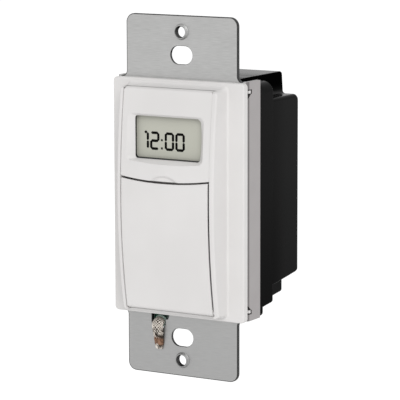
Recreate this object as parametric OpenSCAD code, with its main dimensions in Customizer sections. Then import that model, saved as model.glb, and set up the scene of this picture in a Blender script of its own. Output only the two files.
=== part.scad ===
// Digital in-wall timer switch. A flanged steel strap carries a white front housing, with a display
// above a hinged door, and a stepped black rear housing that holds the boards.
// X runs to the right as seen from the room, Y into the wall and Z up. The origin is the middle of
// the box screw pattern, on the back face of the strap.

/* [Mounting strap] */
// Thickness of the sheet steel
strap_t = 1.2; // [0.9:0.1:1.5]
// Reach of an ear past its tapped hole
ear_end = 4.78; // [4:0.02:7]
// Step in from the side flanges to the ears
ear_in = 3.35; // [2.5:0.05:5]
// Corner radius of the ears
ear_r = 2.6; // [1:0.1:4]
// Width over the side flanges
body_w = 44; // [43.4:0.1:47]
// Height of the flanged middle
body_h = 69.4; // [69:0.1:72]
// Depth of the side flanges from the strap's front face
flange_d = 7.4; // [6:0.1:9]
// Inner radius of the flange bends
bend_in_r = 0.3; // [0.2:0.1:0.5]

/* [Screw patterns] */
// Distance between the tapped holes for the wall plate
plate_pitch = 96.84; // [96:0.02:97.6]
// Minor diameter of the tapped holes
plate_hole_d = 2.84; // [2.5:0.02:3.2]
// Diameter of the countersink on the tapped holes
plate_sink_d = 4.7; // [4:0.1:5.2]
// Height of the drawn collar behind the tapped holes
collar_h = 1.3; // [0.6:0.1:2]
// Wall of the drawn collar
collar_wall = 0.8; // [0.5:0.1:1.2]
// Step from a tapped hole in to the slot for the box screw
slot_step = 6.75; // [6.4:0.01:7.1]
// Length of the box screw slots, across the strap
slot_l = 7.3; // [6:0.1:9]
// Width of the box screw slots, along the strap
slot_w = 5.3; // [4.4:0.1:5.6]

/* [Front housing] */
// Thickness of the base
base_t = 2.2; // [1.8:0.1:2.8]
// Corner radius of the base
base_r = 2; // [1.4:0.1:3]
// Rounding of the base's front edge
base_edge = 1.2; // [0.6:0.1:1.4]
// Step from the flange's outer face in to the base's edge
base_step = 0.05; // [0:0.05:0.3]
// Margin of the base beside the raised frame
frame_in_x = 5.5; // [5.2:0.05:6]
// Margin of the base above and below the raised frame
frame_in_z = 1.5; // [1.3:0.05:2]
// Corner radius of the raised frame
frame_r = 1.2; // [0.8:0.1:1.6]
// Lean of the frame's walls over its full rise
frame_draft = 0.4; // [0.2:0.05:0.6]
// Radius of the cove at the frame's root
cove_r = 0.7; // [0.4:0.1:1]
// Width of the rim beside the door
rim_t = 1.1; // [1:0.05:1.4]
// Thickness of the frame's head above the opening
head_t = 0.9; // [0.7:0.05:1.2]
// Thickness of the sill under the door
sill_t = 0.6; // [0.5:0.05:0.8]
// Drop of the sill below the rim
sill_drop = 5.4; // [5:0.1:6]
// Rise of the rim above the strap, at mid height
rim_rise = 9.6; // [9.2:0.1:10.4]
// Radius of the bowed front
bow_r = 180; // [160:5:260]
// Distance of the snap hooks in from the ends of the flanges
hook_in = 3.5; // [3.1:0.1:5]
// Width of a snap hook
hook_w = 2.6; // [2:0.1:3]
// Reach of a snap hook behind the strap's front face
hook_reach = 3; // [2.4:0.1:3.6]
// Clearance round a snap hook
hook_gap = 0.3; // [0.2:0.05:0.4]

/* [Door] */
// Drop of the door and panel faces below the rim
face_drop = 0.3; // [0.1:0.05:0.5]
// Thickness of the door
door_t = 1.7; // [1.4:0.1:2]
// Clearance beside the door, both sides taken together
door_side_gap = 0.7; // [0.4:0.05:1]
// Sideways play of the door, taken up to the left
door_play = 0.15; // [0:0.05:0.15]
// Gap between the door and the display panel
door_gap = 0.5; // [0.3:0.05:0.8]
// Share of the opening's height that the door takes
door_share = 0.5855; // [0.56:0.0005:0.61]
// Radius of that arc
door_arc_r = 90; // [70:1:140]
// Radius of the rolled lower edge of the door
barrel_r = 1; // [0.9:0.05:1.1]
// Gap from the rolled edge down to the bottom of the frame
barrel_gap = 0.35; // [0.25:0.05:0.6]
// Diameter of the hinge pins
pin_d = 1.2; // [1:0.1:1.4]
// Reach of the hinge pins into the rim
pin_l = 0.9; // [0.7:0.05:0.95]
// Running clearance on the radius of a hinge pin
pin_gap = 0.08; // [0.05:0.01:0.1]
// Gap between the door's push pad and the on/off key
push_gap = 0.4; // [0.35:0.05:0.6]

/* [Display panel] */
// Clearance between the panel and the frame
panel_gap = 0.15; // [0.1:0.05:0.25]
// Thickness of the panel's face
panel_t = 1.6; // [1.3:0.1:1.9]
// Thickness of the panel's walls
wall_t = 1.2; // [0.9:0.1:1.3]
// Drop of the frame's head below the rim, where the panel's nose laps over it
head_drop = 6.4; // [6.2:0.1:6.6]
// Rounding of the panel's nose
nose_r = 0.8; // [0.6:0.05:0.85]
// Thickness of the lip clamped between the base and the strap
lip_t = 0.9; // [0.7:0.1:1]
// Lap of that lip behind the frame
lip_lap = 0.9; // [0.6:0.05:1]
// Clearance round the lip in its rebate
lip_gap = 0.1; // [0.05:0.05:0.15]
// Margin of the panel beside the display window
window_side = 3.75; // [3.5:0.05:5]
// Share of the panel's height that the display window takes
window_share = 0.468; // [0.42:0.002:0.48]
// Share of the panel's height that lies below the window's middle
window_middle = 0.4736; // [0.46:0.0002:0.49]
// Drop of the window's edge below the rim
throat_drop = 2.3; // [2.2:0.05:2.5]
// Spread of the window's bevel at the sides
bevel_side = 2.2; // [1.4:0.1:2.4]
// Spread of the window's bevel above and below
bevel_end = 1.7; // [1:0.1:2]
// Width of the finger scoop over the door
scoop_w = 9.2; // [7:0.1:12]
// Height of the finger scoop
scoop_h = 1.8; // [1.2:0.1:2.4]
// Depth of the finger scoop
scoop_d = 0.35; // [0.2:0.05:0.5]

/* [Control deck] */
// Drop of the deck below the rim
deck_drop = 5.6; // [5.4:0.1:5.8]
// Thickness of the deck
deck_t = 1.2; // [1:0.1:1.3]
// Share of the step between two rows that a key's height takes
key_share = 0.711; // [0.66:0.001:0.72]
// Room between the lowest keys and the battery tray's guide
key_margin = 0.65; // [0.6:0.05:1]
// Width of a side key
key_w = 8.2; // [7:0.1:8.6]
// Width of the on/off key
on_key_w = 11; // [9:0.1:14]
// Distance of the on/off key's middle below the door's arc
on_key_drop = 3.2; // [3:0.1:3.4]
// Distance of the side keys' middles in from the opening's sides
key_in = 6.2; // [6:0.1:6.6]
// Height of a key above the deck
key_proud = 1; // [0.7:0.1:1.2]
// Height of the on/off key above the deck
on_key_proud = 1.7; // [1.4:0.1:1.9]
// Travel of a key
key_travel = 0.35; // [0.25:0.05:0.4]
// Clearance round a key in the deck
key_gap = 0.2; // [0.15:0.05:0.25]
// Width of the collar that keeps a key behind the deck
key_collar = 0.3; // [0.25:0.05:0.35]
// Thickness of that collar
key_collar_t = 0.6; // [0.5:0.05:0.7]

/* [Boards] */
// Thickness of the circuit boards
board_t = 1.6; // [1.2:0.1:1.8]
// Set-back of the control board from the strap's front face
control_set = 0.4; // [0.2:0.05:0.6]
// Clearance of the control board in the strap's window
board_gap = 0.4; // [0.3:0.05:0.6]
// Side of a switch body, as a share of its key's height
tact_share = 1.25; // [1.1:0.01:1.27]
// Room left between a pressed key and its switch body
tact_room = 0.4; // [0.2:0.05:0.6]
// Clearance round a plunger
plunger_gap = 0.1; // [0.08:0.01:0.2]
// Diameter of the posts that carry the control board
post_d = 3; // [2.6:0.1:3.2]
// Distance of the upper posts in from the panel's edges
post_in = 3.25; // [3:0.05:3.6]
// Shank diameter of the board screws
board_screw_d = 1.6; // [1.2:0.1:1.8]
// Length of the board screws
board_screw_l = 4; // [3.4:0.1:4.4]
// Front face of the power board, behind the strap
power_y = 13; // [12:0.1:13.4]
// Side of the microcontroller
chip_w = 9; // [7:0.1:10]
// Thickness of the microcontroller
chip_t = 1.4; // [1:0.1:1.8]
// Share of the power board's width, height and free depth that the relay takes
relay_share = [0.48, 0.45, 0.85]; // [0.3:0.01:0.9]
// Share of the power board's width, height and free depth that the dropper capacitor takes
dropper_share = [0.43, 0.235, 0.8]; // [0.2:0.005:0.9]
// Share of the power board's height that a filter capacitor takes
filter_share = 0.205; // [0.16:0.005:0.23]
// Share of the free depth that the varistor's disc takes
varistor_share = 0.65; // [0.5:0.01:0.75]
// Thickness of the varistor
varistor_t = 3.4; // [2.4:0.1:4]
// Clearance of the parts on the power board from each other and from the edge
part_margin = 1.2; // [1.1:0.05:1.4]
// Pitch of the pins between the boards
link_pitch = 2.54; // [2:0.02:2.6]
// Thickness of those pins
link_pin_t = 0.64; // [0.5:0.02:0.8]
// Height of the spacers on those pins
link_spacer = 2.5; // [2:0.1:3]
// Distance of those pins below the top of the control board
link_drop = 5; // [4:0.1:6]

/* [Display module] */
// Margin of the display glass round the window
lcd_margin = 1.1; // [0.8:0.05:1.2]
// Thickness of the display glass
lcd_t = 2.2; // [1.8:0.1:2.4]
// Thickness of the gasket in front of the glass
gasket_t = 1.3; // [1.1:0.05:1.4]
// Wall of the display holder
holder_t = 0.7; // [0.5:0.05:0.8]
// Clearance of the glass in its holder
holder_gap = 0.1; // [0.05:0.05:0.15]
// Thickness of a contact strip
zebra_t = 2; // [1.4:0.1:2.4]

/* [Battery] */
// Share of the door's height that the cell's diameter takes
battery_share = 0.408; // [0.38:0.002:0.41]
// Length of the cell over its terminal
battery_l = 27; // [24:0.1:27.4]
// Height of the tray's guide above the deck's lower wall
guide_rise = 2.3; // [2:0.1:2.6]
// Wall of the battery tray
tray_wall = 0.7; // [0.6:0.05:0.8]
// Clearance round the cell and round the tray
tray_gap = 0.15; // [0.1:0.05:0.2]
// Depth of the tray's guide behind the deck
guide_d = 7; // [5:0.1:9]
// Thickness of the battery contacts
contact_t = 0.4; // [0.3:0.05:0.5]
// Width of the finger notch in the tray's face
finger_w = 6; // [5:0.1:8]
// Height of the finger notch
finger_h = 2; // [1.6:0.1:2.4]

/* [Rear housing] */
// Wall of the rear housing
case_wall = 1.5; // [1.2:0.1:1.7]
// Depth of the rear housing behind the strap
case_d = 29.8; // [28.8:0.1:32]
// Depth of the shallow level behind the strap
step_d = 13.8; // [13.4:0.1:14.6]
// Thickness of the rim behind the flanges
rim_lip_t = 1.25; // [1:0.05:1.6]
// Clearance between the rear housing and the strap
case_gap = 0.1; // [0.05:0.05:0.2]
// Step in from the flanges to the shallow level, and on to the deep one
case_step = 0.3; // [0.15:0.05:0.4]
// Step down from the top of the flanges to the top of the rear housing
case_top_in = 0.2; // [0.1:0.1:0.6]
// Height of the cut in the top corners
top_cut = 6.1; // [5.4:0.1:6.4]
// Step up from the bottom of the flanges to the deep middle block, at its front
block_in_z = 2.1; // [1.8:0.1:2.4]
// Step up from the bottom of the flanges to the shallow level, at its front
step_in_z = 2.8; // [2.6:0.1:3]
// Step up from the bottom of the flanges to the deep full-width part, at its front
deep_in_z = 8.2; // [7.8:0.1:8.6]
// Width of the cut corners beside the deep middle block
block_in_x = 5.7; // [5.4:0.1:6]
// Rise of the undersides towards the back, in degrees
under_draft = 6; // [3:0.5:6.5]
// Rounding of the rear housing's upright edges
case_r = 1.2; // [0.8:0.1:1.4]
// Shank diameter of the housing screws
case_screw_d = 2.2; // [1.8:0.1:2.4]
// Head diameter of the housing screws
case_screw_head_d = 3.8; // [3.2:0.1:3.8]
// Distance of the housing screws out from the deep middle block
case_screw_out = 2; // [1.95:0.05:2.1]
// Diameter of the lead exits in the back
exit_d = 3.8; // [3:0.1:4.2]
// Share of the deep middle block's width between two lead exits
exit_share = 0.28; // [0.2:0.01:0.33]

/* [Ground lead] */
// Diameter over the insulation
lead_d = 4; // [3.4:0.1:4.2]
// Width of the flattened strands on the strap
strand_w = 4; // [3.4:0.1:4.4]
// Height of the strands above the strap at the notch
strand_rise = 2; // [1.6:0.1:2.2]
// Reach of the strands below the notch
strand_l = 9.6; // [8:0.1:11]
// Clearance of the lead in the notch, both sides together
notch_gap = 2; // [1.6:0.1:3]
// Diameter of the stripped end
bare_d = 2.2; // [1.8:0.1:2.6]
// Length of the stripped end
bare_l = 9; // [7:0.5:12]
// Thickness of the tie round the folded lead
tie_t = 0.8; // [0.6:0.1:1.2]
// Height of the tie
tie_h = 2.6; // [2:0.1:3.6]

/* [Hidden] */
$fn = 48;
lap = 0.2;
far = 200;

// Planes from front to back
y_strap = -strap_t;
y_base = y_strap - base_t;
y_crest = y_strap - rim_rise;
y_face = y_crest + face_drop;
y_throat = y_crest + throat_drop;
y_deck = y_crest + deck_drop;
y_sill = y_crest + sill_drop;
y_head = y_crest + head_drop;
y_deck_back = y_deck + deck_t;
y_control = y_strap + control_set;
y_flange = y_strap + flange_d;
y_power_back = power_y + board_t;
y_case_in = case_d - case_wall;

// Strap
strap_h = plate_pitch + 2 * ear_end;
box_pitch = plate_pitch - 2 * slot_step;
ear_w = body_w - 2 * ear_in;
bend_r = bend_in_r + strap_t;
flat_w = body_w - 2 * bend_r;
ear_fillet = ear_in - bend_r;
hook_z = body_h / 2 - hook_in;
notch_w = lead_d + notch_gap;
notch_reach = lead_d / 2 - 0.1;
notch_z = -body_h / 2 - notch_reach;
notch_x = -7.4;
notch_slant = 0.7;

// Frame and its opening, which the strap's window repeats
frame_w = body_w - 2 * frame_in_x;
frame_h = body_h - 2 * frame_in_z;
opening_w = frame_w - 2 * (frame_draft + rim_t);
opening_top = frame_h / 2 - head_t;
opening_bottom = -frame_h / 2 + sill_t;

// Panel
panel_w = opening_w - 2 * panel_gap;
panel_top = opening_top - panel_gap;
panel_bottom = opening_bottom + panel_gap;
nose_top = frame_h / 2 - panel_gap;
door_arc_z = opening_bottom + door_share * (opening_top - opening_bottom);
arc_middle_z = door_arc_z + door_arc_r;
arc_sag = door_arc_r - sqrt(door_arc_r ^ 2 - (panel_w / 2) ^ 2);
upper_bottom = door_arc_z + door_gap / 2;
upper_h = panel_top - upper_bottom;
window_w = panel_w - 2 * window_side;
window_h = window_share * upper_h;
window_z = upper_bottom + window_middle * upper_h;

// Door
door_w = opening_w - door_side_gap;
pivot_z = -frame_h / 2 + barrel_gap + barrel_r;
pivot_y = y_face + bow_r - sqrt((bow_r - barrel_r) ^ 2 - pivot_z ^ 2);

// Battery, whose tray sets the room for the keys
battery_d = battery_share * (door_arc_z - opening_bottom);
tray_half = battery_d / 2 + tray_gap + tray_wall;
guide_half = tray_half + tray_gap;
guide_out = guide_half + wall_t;
battery_z = panel_bottom + wall_t + guide_rise + guide_out;
battery_front = y_deck_back + 2 * contact_t;
battery_back = battery_front + battery_l;
terminal_h = 0.9;

// Keys: place, size and height above the deck
key_x = opening_w / 2 - key_in;
on_key_z = door_arc_z - on_key_drop;
key_step = (on_key_z - battery_z - guide_out - key_margin) / (2 + key_share / 2);
key_h = key_share * key_step;
plunger_d = 0.56 * key_h;
reset_d = 0.75 * key_h;
on_key = [0, on_key_z, on_key_w, key_h, on_key_proud];
mode_key = [-key_x, on_key_z - key_step, key_w, key_h, key_proud];
enter_key = [key_x, on_key_z - key_step, key_w, key_h, key_proud];
minus_key = [-key_x, on_key_z - 2 * key_step, key_w, key_h, key_proud];
plus_key = [key_x, on_key_z - 2 * key_step, key_w, key_h, key_proud];
reset_key = [0, on_key_z - key_step, reset_d, reset_d, key_proud / 2];
KEYS = [on_key, mode_key, enter_key, minus_key, plus_key, reset_key];
y_collar = y_deck_back + 0.05;
y_tact = y_collar + key_collar_t + key_travel + tact_room;
tact_w = tact_share * key_h;
plunger_in = 0.6;

// Display module
y_glass = y_throat + gasket_t;
y_glass_back = y_glass + lcd_t;
lcd_w = window_w + 2 * lcd_margin;
lcd_h = window_h + 2 * lcd_margin;

// Boards
control_top = opening_top - board_gap;
control_bottom = battery_z + guide_out + board_gap;
control_w = opening_w - 2 * board_gap;
lower_post_z = on_key_z - 2 * key_step;
post_x = panel_w / 2 - post_in;
post_z = panel_top - post_in;
POSTS = [[-post_x, post_z], [post_x, post_z], [0, lower_post_z]];
screw_head_t = 1.1;

// Rear housing
collar_w = body_w - 2 * strap_t - 4 * case_gap;
collar_bottom = -body_h / 2 + lead_d / 2 + 0.7;
case_top = body_h / 2 - case_top_in;
step_w = body_w - 2 * case_step;
step_bottom = -body_h / 2 + step_in_z;
block_w = step_w - 2 * block_in_x;
block_bottom = -body_h / 2 + block_in_z;
deep_w = step_w - case_step;
deep_top = case_top - top_cut;
deep_bottom = -body_h / 2 + deep_in_z;
y_lip = y_flange + case_gap;
y_step_front = y_lip + rim_lip_t;
rise = tan(under_draft);
case_screw_top = deep_top + top_cut / 2;
case_screw_bottom = (deep_bottom + step_bottom) / 2 + 0.8;
case_screw_x = block_w / 2 + case_screw_out;
exit_step = exit_share * block_w;
CASE_SCREWS = [for (x = [-1, 1], z = [case_screw_top, case_screw_bottom]) [x * case_screw_x, z]];
case_head_t = 1.6;
power_w = deep_w - 2 * case_wall - 0.6;
rib_w = part_margin;
power_top = deep_top - case_wall - 0.4;
power_bottom = control_bottom + 1;
power_h = power_top - power_bottom;
power_room = y_case_in - y_power_back;
relay_size = [relay_share[0] * power_w, relay_share[1] * power_h, relay_share[2] * power_room];
dropper_size = [dropper_share[0] * power_w, dropper_share[1] * power_h, dropper_share[2] * power_room];
filter_d = filter_share * power_h;
filter_h = dropper_size[2];
varistor_d = varistor_share * power_room;

// Ground lead: hand-chosen route from the notch, under the case and up behind it, with one loop. It
// was drawn for a case of this depth on flanges of this height, and keeps to them when they change.
LEAD_CASE_D = 29.8;
LEAD_BODY_H = 69.4;
LEAD_ROUTE = [
    [-8.1, -0.2, -37.8], [-8.6, 2.2, -37.5], [-9.9, 6.4, -37.6], [-11.6, 10.8, -38.4], [-12.9, 15.6, -39.5],
    [-13.5, 20.6, -39.4], [-13.8, 25.4, -37.9], [-13.8, 29.8, -35], [-13.6, 32.8, -30.8],
    [-13.3, 34.2, -25.4], [-13.1, 34.5, -19.7], [-12.9, 34.4, -14], [-12.7, 34.1, -8], [-12.6, 34, -2],
    [-12.5, 34, 4], [-12.4, 34, 9], [-11.2, 34, 14.6], [-7.8, 34, 19], [-2.7, 34, 21.5],
    [3, 34, 21.2], [7.9, 34, 18.4], [11.2, 34, 13.8], [12, 34, 8.4], [10.6, 34, 3],
    [7.2, 34, -1.6], [2.8, 34, -5.4], [-1.6, 34, -8.9], [-5.3, 34.1, -12.8], [-7.6, 34.3, -17.4],
    [-8.3, 34.4, -22.4]
];
LEAD_STEPS = 2;
LEAD_SIDES = 10;
lead_drop = (body_h - LEAD_BODY_H) / 2;
lead_route = [for (p = LEAD_ROUTE) [p[0], p[1] * case_d / LEAD_CASE_D, p[2] - lead_drop]];
lead_start = lead_route[0];
seat_z = lead_start[2] - lead_d / 2 - 0.1;
lead_end = lead_route[len(lead_route) - 1];
tie_z = lead_route[10][2];

// Outline in X and Z, carried along Y
module along_y(y0, y1) {
    translate([0, y1, 0]) rotate([90, 0, 0]) linear_extrude(y1 - y0) children();
}

// Profile in Y and Z, carried across X about the middle
module along_x(w) {
    rotate([90, 0, 90]) translate([0, 0, -w / 2]) linear_extrude(w) children();
}

// Round bar along Y at a place in X and Z
module rod_y(p, y0, y1, d) {
    translate([p[0], y1, p[1]]) rotate([90, 0, 0]) cylinder(d = d, h = y1 - y0);
}

module rounded_rect(w, h, r) {
    square([w - 2 * r, h], center = true);
    square([w, h - 2 * r], center = true);
    for (x = [-1, 1], z = [-1, 1]) translate([x * (w / 2 - r), z * (h / 2 - r)]) circle(r);
}

// Rectangle between two heights, about the middle of X
module band(w, z0, z1) {
    translate([-w / 2, z0]) square([w, z1 - z0]);
}

// Slot with round ends, lying along X
module obround(w, h) {
    if (w > h) square([w - h, h], center = true);
    for (x = [-1, 1]) translate([x * (w - h) / 2, 0]) circle(d = h);
}

// Everything behind a face that bows forward about an axis along X
module behind_bow(y_front, r) {
    translate([-far / 2, y_front + r, 0]) rotate([0, 90, 0]) cylinder(r = r, h = far, $fn = 360);
}

// Both hands of a piece that is drawn on the right
module both_sides() {
    children();
    mirror([1, 0, 0]) children();
}

module opening_outline() {
    band(opening_w, opening_bottom, opening_top);
}

// Flat strip with ears, and a fillet where each ear leaves the flanged middle
module strap_outline() {
    rounded_rect(ear_w, strap_h, ear_r);
    square([flat_w, body_h], center = true);
    for (q = [0:3]) {
        x = (q == 0 || q == 3) ? 1 : -1;
        z = q < 2 ? 1 : -1;
        translate([x * ear_w / 2, z * body_h / 2]) rotate(90 * q) difference() {
            translate([-lap, -lap]) square(ear_fillet + lap);
            translate([ear_fillet, ear_fillet]) circle(ear_fillet);
        }
    }
}

// Corner of a bent sheet about its bend's middle, with a leg to the left and a leg back
module bent_corner(r, left, back) {
    difference() {
        translate([-left, -r]) square([left + r, r + back]);
        difference() {
            translate([0, -r]) square(r);
            circle(r);
        }
    }
}

module side_flange() {
    translate([body_w / 2 - bend_r, y_strap + bend_r, -body_h / 2]) linear_extrude(body_h) difference() {
        bent_corner(bend_r, 2 * lap, flange_d - bend_r);
        bent_corner(bend_in_r, 3 * lap, flange_d);
    }
}

// Cut through a flange and its bend for a snap hook
module hook_window() {
    for (z = [-1, 1])
        translate([flat_w / 2 - hook_w / 4, y_strap - lap, z * hook_z - hook_w / 2 - hook_gap])
            cube([far, hook_reach + hook_gap + lap, hook_w + 2 * hook_gap]);
}

module plate_screw_collar(z) {
    rod_y([0, z], -lap, collar_h, plate_hole_d + 2 * collar_wall);
}

// Tapped hole with a countersink at the front
module plate_screw_hole(z) {
    sink = (plate_sink_d - plate_hole_d) / 2;
    rod_y([0, z], y_strap - lap, collar_h + lap, plate_hole_d);
    translate([0, y_strap + sink, z]) rotate([90, 0, 0])
        cylinder(d1 = plate_hole_d, d2 = plate_sink_d, h = sink);
}

// Gap at the top of the lower ear for the ground lead, deeper where the lead sits and slanted on the right
module notch_outline() {
    left = notch_x - notch_w / 2;
    right = notch_x + notch_w / 2;
    seat = lead_start[0] + lead_d / 2 + 0.2;
    polygon([
        [left, opening_bottom + lap], [left, seat_z], [seat, seat_z], [seat, notch_z],
        [right - notch_slant, notch_z], [right, -body_h / 2], [right, opening_bottom + lap]
    ]);
}

module mounting_strap() {
    color("silver") difference() {
        union() {
            along_y(y_strap, 0) strap_outline();
            both_sides() side_flange();
            for (z = [-1, 1]) plate_screw_collar(z * plate_pitch / 2);
        }
        along_y(y_strap - lap, lap) opening_outline();
        along_y(y_strap - lap, lap) notch_outline();
        for (z = [-1, 1]) {
            along_y(y_strap - lap, lap) translate([0, z * box_pitch / 2]) obround(slot_l, slot_w);
            plate_screw_hole(z * plate_pitch / 2);
        }
        for (p = CASE_SCREWS) rod_y(p, y_strap - lap, lap, case_screw_d);
        both_sides() hook_window();
    }
}

// Base with a rounded front edge
module base_plate() {
    steps = 4;
    hull() for (i = [0:steps]) {
        a = 90 * i / steps;
        inset = base_edge * (1 - cos(a)) + base_step;
        along_y(y_base + base_edge * (1 - sin(a)), y_strap)
            rounded_rect(body_w - 2 * inset, body_h - 2 * inset, base_r, $fn = 32);
    }
}

// Leaning walls of the raised frame, before the bow is cut
module frame_block() {
    hull() {
        along_y(y_base, y_strap) rounded_rect(frame_w, frame_h, frame_r, $fn = 32);
        along_y(y_crest, y_strap)
            rounded_rect(frame_w - 2 * frame_draft, frame_h - 2 * frame_draft, frame_r, $fn = 32);
    }
}

// Cove between the base and the frame, as two facets
module frame_cove() {
    steps = 2;
    for (i = [1:steps]) hull() for (j = [i - 1, i]) {
        a = 90 * j / steps;
        spread = 2 * cove_r * (1 - sin(a));
        along_y(y_base - cove_r * (1 - cos(a)), y_strap)
            rounded_rect(frame_w + spread, frame_h + spread, frame_r, $fn = 32);
    }
}

// Snap hook that passes the strap's edge and catches behind it
module snap_hook(z) {
    root = flat_w / 2 + hook_w / 4;
    catch = hook_w / 3;
    translate([0, 0, z - hook_w / 2]) linear_extrude(hook_w) polygon([
        [root, y_strap - lap], [body_w / 2 - base_step, y_strap - lap],
        [body_w / 2 - base_step, y_strap + hook_reach - 2 * catch],
        [root + catch / 2, y_strap + hook_reach],
        [root, y_strap + hook_reach], [root - 2 * catch, hook_gap], [root, hook_gap]
    ]);
}

module front_housing() {
    color("whitesmoke") difference() {
        union() {
            base_plate();
            intersection() {
                frame_block();
                behind_bow(y_crest, bow_r);
            }
            frame_cove();
            both_sides() for (z = [-1, 1]) snap_hook(z * hook_z);
        }
        along_y(y_crest - lap, y_strap + lap) opening_outline();
        along_y(y_crest - lap, y_sill) band(opening_w, -frame_h, opening_bottom + lap);
        along_y(y_crest - lap, y_head) band(opening_w, opening_top - lap, frame_h);
        along_y(y_strap - lip_t - lip_gap, y_strap + lap) band(
            opening_w + 2 * (lip_lap + lip_gap),
            opening_bottom - lip_lap - lip_gap,
            opening_top + lip_lap + lip_gap
        );
        pin_span = opening_w + 2 * (pin_l + panel_gap);
        translate([-pin_span / 2, pivot_y, pivot_z]) rotate([0, 90, 0])
            cylinder(d = pin_d + 2 * pin_gap, h = pin_span);
    }
}

// Outline of the panel above the door, drawn in by a margin
module upper_outline(margin) {
    intersection() {
        band(panel_w - 2 * margin, 0, panel_top - margin);
        translate([0, arc_middle_z]) circle(door_arc_r - door_gap / 2 - margin, $fn = 360);
    }
}

// Rounded bar along the top of the panel, in front of the frame's head
module panel_nose() {
    z = nose_top - nose_r;
    y = y_face + bow_r - sqrt(bow_r ^ 2 - z ^ 2);
    along_x(panel_w) {
        translate([y, panel_top - lap]) square([y_head - panel_gap - y, z - panel_top + lap]);
        translate([y + nose_r, z - lap]) square([y_head - panel_gap - y - nose_r, nose_r + lap]);
        translate([y + nose_r, z]) circle(nose_r);
    }
}

// Bevel that narrows from a barrel-shaped outline in front to the window's edge
module window_bevel() {
    depth = y_throat - y_crest;
    grow = depth / (y_throat - y_face - window_z ^ 2 / (2 * bow_r));
    points = 40;
    hull() {
        along_y(y_throat - 0.05, y_throat) translate([0, window_z])
            rounded_rect(window_w, window_h, 0.6, $fn = 24);
        along_y(y_crest, y_crest + 0.05) translate([0, window_z]) polygon([
            for (i = [0:points - 1]) let (a = 360 * i / points) [
                (window_w / 2 + bevel_side * grow) * sign(cos(a)) * abs(cos(a)) ^ 0.4,
                (window_h / 2 + bevel_end * grow) * sign(sin(a)) * abs(sin(a)) ^ 0.4
            ]
        ]);
    }
}

// Shallow half-moon over the middle of the door
module finger_scoop() {
    r = (scoop_h ^ 2 + (scoop_w / 2) ^ 2) / (2 * scoop_h);
    edge_z = door_arc_z + door_gap / 2;
    difference() {
        along_y(y_crest, y_strap) translate([0, edge_z + scoop_h - r]) circle(r);
        behind_bow(y_face + scoop_d, bow_r - scoop_d);
    }
}

// Collar behind the deck that guides the battery tray
module tray_guide() {
    along_y(y_deck, y_deck_back + guide_d) translate([0, battery_z])
        square(2 * guide_out, center = true);
}

module display_panel() {
    deck_top = door_arc_z + door_gap / 2 + arc_sag + lap;
    color("white") difference() {
        union() {
            difference() {
                union() {
                    intersection() {
                        along_y(y_crest, y_strap) upper_outline(0);
                        behind_bow(y_face, bow_r);
                    }
                    panel_nose();
                    along_y(y_deck, y_strap) band(panel_w, panel_bottom, deck_top);
                    along_y(y_strap - lip_t, y_strap)
                        band(opening_w + 2 * lip_lap, opening_bottom - lip_lap, opening_top + lip_lap);
                }
                intersection() {
                    along_y(y_crest, y_strap + lap) upper_outline(wall_t);
                    behind_bow(y_face + panel_t, bow_r - panel_t);
                }
                along_y(y_deck_back, y_strap + lap)
                    band(panel_w - 2 * wall_t, panel_bottom + wall_t, door_arc_z);
            }
            intersection() {
                along_y(y_crest, y_throat) translate([0, window_z]) square([lcd_w, lcd_h], center = true);
                behind_bow(y_face, bow_r);
            }
            intersection() {
                for (p = POSTS) rod_y(p, p[1] > 0 ? y_crest : y_deck, y_control, post_d);
                behind_bow(y_face + panel_t / 2, bow_r - panel_t / 2);
            }
            tray_guide();
        }
        window_bevel();
        along_y(y_throat - 0.1, y_throat + lap) translate([0, window_z])
            rounded_rect(window_w, window_h, 0.6);
        along_y(y_throat, y_control) translate([0, window_z])
            square([lcd_w + 2 * holder_gap, lcd_h + 2 * holder_gap], center = true);
        finger_scoop();
        for (k = KEYS) along_y(y_deck - lap, y_deck_back + lap) translate([k[0], k[1]])
            obround(k[2] + 2 * key_gap, k[3] + 2 * key_gap);
        along_y(y_deck - lap, y_deck_back + guide_d + lap) translate([0, battery_z])
            square(2 * guide_half, center = true);
        for (p = POSTS) rod_y(p, y_control - board_screw_l + board_t, y_control + lap, board_screw_d);
    }
}

// Bowed leaf with a rolled lower edge, hinge pins and a push pad over the on/off key
module door() {
    pad_front = y_deck - on_key_proud - push_gap;
    color("white") translate([-door_play, 0, 0]) {
        difference() {
            intersection() {
                along_y(y_crest, y_strap) band(door_w, pivot_z, door_arc_z + 2 * arc_sag);
                behind_bow(y_face, bow_r);
            }
            behind_bow(y_face + door_t, bow_r - door_t);
            along_y(y_crest - lap, y_strap + lap) translate([door_play, arc_middle_z])
                circle(door_arc_r + door_gap / 2, $fn = 360);
        }
        translate([-door_w / 2, pivot_y, pivot_z]) rotate([0, 90, 0]) cylinder(r = barrel_r, h = door_w);
        translate([-opening_w / 2 - pin_l + door_play, pivot_y, pivot_z]) rotate([0, 90, 0])
            cylinder(d = pin_d, h = opening_w + 2 * pin_l);
        intersection() {
            along_y(y_face, pad_front) translate([door_play, on_key_z]) obround(on_key_w - key_h, key_h / 2);
            behind_bow(y_face + door_t / 2, bow_r - door_t / 2);
        }
    }
}

// Key cap with a collar behind the deck and the plunger that it presses
module key(k) {
    along_y(y_deck - k[4], y_collar + key_collar_t) translate([k[0], k[1]]) obround(k[2], k[3]);
    along_y(y_collar, y_collar + key_collar_t) translate([k[0], k[1]])
        obround(k[2] + 2 * (key_gap + key_collar), k[3] + 2 * (key_gap + key_collar));
    rod_y(k, y_collar, y_tact + plunger_in, plunger_d);
}

module on_off_button() {
    color("gainsboro") key(on_key);
}

module mode_button() {
    color("gainsboro") key(mode_key);
}

module enter_button() {
    color("gainsboro") key(enter_key);
}

module minus_button() {
    color("gainsboro") key(minus_key);
}

module plus_button() {
    color("gainsboro") key(plus_key);
}

module reset_button() {
    color("gray") key(reset_key);
}

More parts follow.
